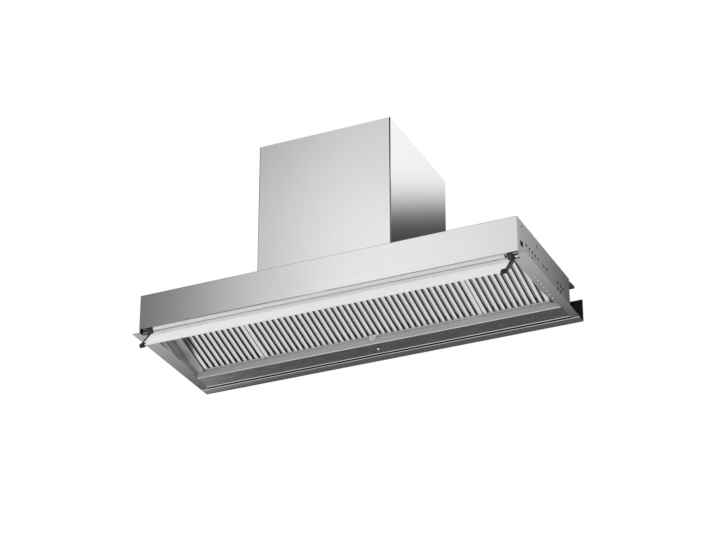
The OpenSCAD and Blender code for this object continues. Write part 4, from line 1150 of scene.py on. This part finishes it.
# %% Soften the leaf spring's edges
leaf = folded("latch_spring", 0.04 * mm)
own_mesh(leaf)
print("leaf spring", len(leaf.data.polygons), "faces")

# %% [markdown]
# ## Folded hems
#
# Where a long sheet edge is in reach of a hand, it is folded back on itself. The round nose of such
# a hem is a mirror for the whole room, so it shows as one thin bright line. Two of them cross the
# dark underside at the wall, and a short one closes the rear edge of each filter.

# %% Fold the hems
HEM_STEEL = 0.7
NOSE_OUT = 2.2
HEM_CLOSING = 0.4


def hem(name, x0, x1, point, body, material, length=5.0, height=2.4):
    """A folded edge from x0 to x1. point(along, up, x) puts its section in the scene."""
    line = [(length, height), (0.0, height), (0.0, 0.0), (length, 0.0)]
    piece = carried(name, *sheet_section(line, HEM_STEEL, height / 2), (x0, x1), point)
    smooth_by_angle(piece, 60.0)
    finish_piece(piece, body, material)


def on_rear_edge(along, up, x):
    return place(x, HOOD_D - NOSE_OUT + along * HEM_CLOSING, up - 1.0)


def on_strip_edge(along, up, x):
    return place(x, STRIP_Y - 0.4 + along, up - 0.9)


def on_filter_end(along, up, x):
    return on_slope(x, FILTER_L + 3.3 - along, up)


half = HOOD_W / 2
hem("rear_edge_hem", 2 - half, half - 2, on_rear_edge, "hood", bright_steel)
hem("strip_edge_hem", -half - FLANGE_W, half + FLANGE_W, on_strip_edge, "hood", bright_steel)
for side, (middle, width, slots) in FILTERS.items():
    half = width / 2 - 1.0
    spans = [(middle - half, middle + half)]
    if side == "centre":
        spans = [(-half, -LATCH_ROOM), (LATCH_ROOM, half)]
    for i, (x0, x1) in enumerate(spans):
        hem("filter_hem_%s_%d" % (side, i), x0, x1, on_filter_end, "filter_" + side, filter_sheet,
            length=4.5, height=1.6)
print("hems folded")

# %% [markdown]
# ## The ledges inside the side flanges
#
# Along each side's foot a narrow ledge covers the slit between the outer sheet and the liner. Its
# inner edge runs back parallel to the side and turns out to nothing before the recess wall. It is
# cut from flat sheet, so an outline and a thickness say it all.

# %% Lay the ledges
LEDGE_FOOT, LEDGE_T = -0.35, 1.0
LEDGE_OUTLINE = [(601.5, 22.0), (580.0, 22.0), (578.5, 24.0), (578.5, 232.0), (580.5, 262.0),
                 (586.0, 300.0), (593.0, 338.0), (597.0, 352.0), (597.5, 420.0), (601.5, 420.0)]
for name, side in SIDES.items():
    plate = bmesh.new()
    rings = [[plate.verts.new(place(side * x, y, z)) for x, y in LEDGE_OUTLINE]
             for z in (LEDGE_FOOT, LEDGE_FOOT + LEDGE_T)]
    for ring in rings:
        plate.faces.new(ring)
    for i, (under, over) in enumerate(zip(*rings)):
        plate.faces.new((rings[0][i - 1], under, over, rings[1][i - 1]))
    bmesh.ops.recalc_face_normals(plate, faces=plate.faces)
    level = [e for e in plate.edges if abs(e.verts[0].co.z - e.verts[1].co.z) < 1e-6]
    bmesh.ops.bevel(plate, geom=level, offset=0.3 * mm, segments=2, profile=0.5, affect="EDGES")
    ledge = new_object("side_ledge_" + name, to_mesh(plate, "side_ledge_" + name))
    finish_piece(ledge, "hood", flange_sheet_rear_shade)
print("ledges laid")

# %% [markdown]
# ## Rivets
#
# Rivets hold the right ledge and the rear and upper sheets. Each head is grown by a node tree: a
# circle is raised and narrowed three times, then set on every point of a small mesh and turned to
# the direction kept with that point. The tree's inputs are the head's radius, its height and its
# finish, and one tree serves every row.

# %% Build the tree that grows rivet heads
rivet_tree, rivet_in, rivet_out = geometry_tree("rivet_heads", Radius="Float", Height="Float",
                                                Finish="Material")
disc = add_node(rivet_tree, "GeometryNodeMeshCircle", fill_type="NGON", Vertices=20)
wire(rivet_tree, (rivet_in, "Radius", disc, "Radius"))
dome, crown = disc.outputs["Mesh"], None
for rise, narrow in ((0.45, 0.96), (0.32, 0.84), (0.23, 0.60)):
    lift = add_node(rivet_tree, "ShaderNodeMath", operation="MULTIPLY")
    lift.inputs[1].default_value = rise
    raised = add_node(rivet_tree, "GeometryNodeExtrudeMesh", mode="FACES", Offset=(0.0, 0.0, 1.0))
    slimmer = add_node(rivet_tree, "GeometryNodeScaleElements", domain="FACE", Scale=narrow)
    join(rivet_tree, dome, raised.inputs["Mesh"])
    if crown:
        join(rivet_tree, crown, raised.inputs["Selection"])
    wire(rivet_tree, (rivet_in, "Height", lift, 0), (lift, "Value", raised, "Offset Scale"),
         (raised, "Mesh", slimmer, "Geometry"), (raised, "Top", slimmer, "Selection"))
    dome, crown = slimmer.outputs["Geometry"], raised.outputs["Top"]
outward = add_node(rivet_tree, "GeometryNodeInputNamedAttribute", data_type="FLOAT_VECTOR")
outward.inputs["Name"].default_value = "out"
turned = add_node(rivet_tree, "FunctionNodeAlignRotationToVector", axis="Z")
placed = rivet_tree.nodes.new("GeometryNodeInstanceOnPoints")
realised = rivet_tree.nodes.new("GeometryNodeRealizeInstances")
coated = rivet_tree.nodes.new("GeometryNodeSetMaterial")
join(rivet_tree, dome, placed.inputs["Instance"])
wire(rivet_tree, (outward, "Attribute", turned, "Vector"),
     (rivet_in, "Geometry", placed, "Points"), (turned, "Rotation", placed, "Rotation"),
     (placed, "Instances", realised, "Geometry"), (realised, "Geometry", coated, "Geometry"),
     (rivet_in, "Finish", coated, "Material"), (coated, "Geometry", rivet_out, "Geometry"))
print("tree:", rivet_tree.name, len(rivet_tree.nodes), "nodes")

# %% Set the rivet heads
def rivets(name, spots, radius, height):
    """Heads on these spots, each a point and the direction it faces."""
    mesh = bpy.data.meshes.new(name)
    mesh.from_pydata([point for point, out in spots], [], [])
    facing = mesh.attributes.new("out", "FLOAT_VECTOR", "POINT")
    for entry, (point, out) in zip(facing.data, spots):
        entry.vector = out
    piece = new_object(name, mesh)
    grow(piece, rivet_tree, Radius=radius, Height=height, Finish=bright_steel)
    smooth_by_angle(piece, 50.0)
    finish_piece(piece, "hood", bright_steel)
    return piece


down, up, back = Vector((0, 0, -1)), Vector((0, 0, 1)), Vector((0, 1, 0))
END_X = 592.0
LONG_ROW = [-540.0 + 90.0 * i for i in range(13)]
ledge_spots = [(place(594.0, 148.0 + 24.0 * i, -0.25), down) for i in range(7)]
top_spots = [(place(side * END_X, 40.0 + 43.0 * i, BODY_H), up)
             for side in SIDES.values() for i in range(9)]
top_spots += [(place(x, y, BODY_H), up) for y in (8.0, 417.0) for x in LONG_ROW]
back_spots = [(place(x, HOOD_D, 114.0), back) for x in LONG_ROW]
back_spots += [(place(side * END_X, HOOD_D, 24.0 + 30.0 * i), back)
               for side in SIDES.values() for i in range(3)]
rivets("ledge_rivets", ledge_spots, 3.4 * mm, 1.4 * mm)
top_rivets = rivets("top_rivets", top_spots, 3.0 * mm, 1.3 * mm)
rivets("back_rivets", back_spots, 3.0 * mm, 1.3 * mm)
print("rivets:", len(ledge_spots), "on the ledge,", len(top_spots) + len(back_spots),
      "on the body")
crown_face = max(top_rivets.data.polygons, key=lambda f: f.center.z)
print("a crown faces", tuple(round(v, 2) for v in crown_face.normal))
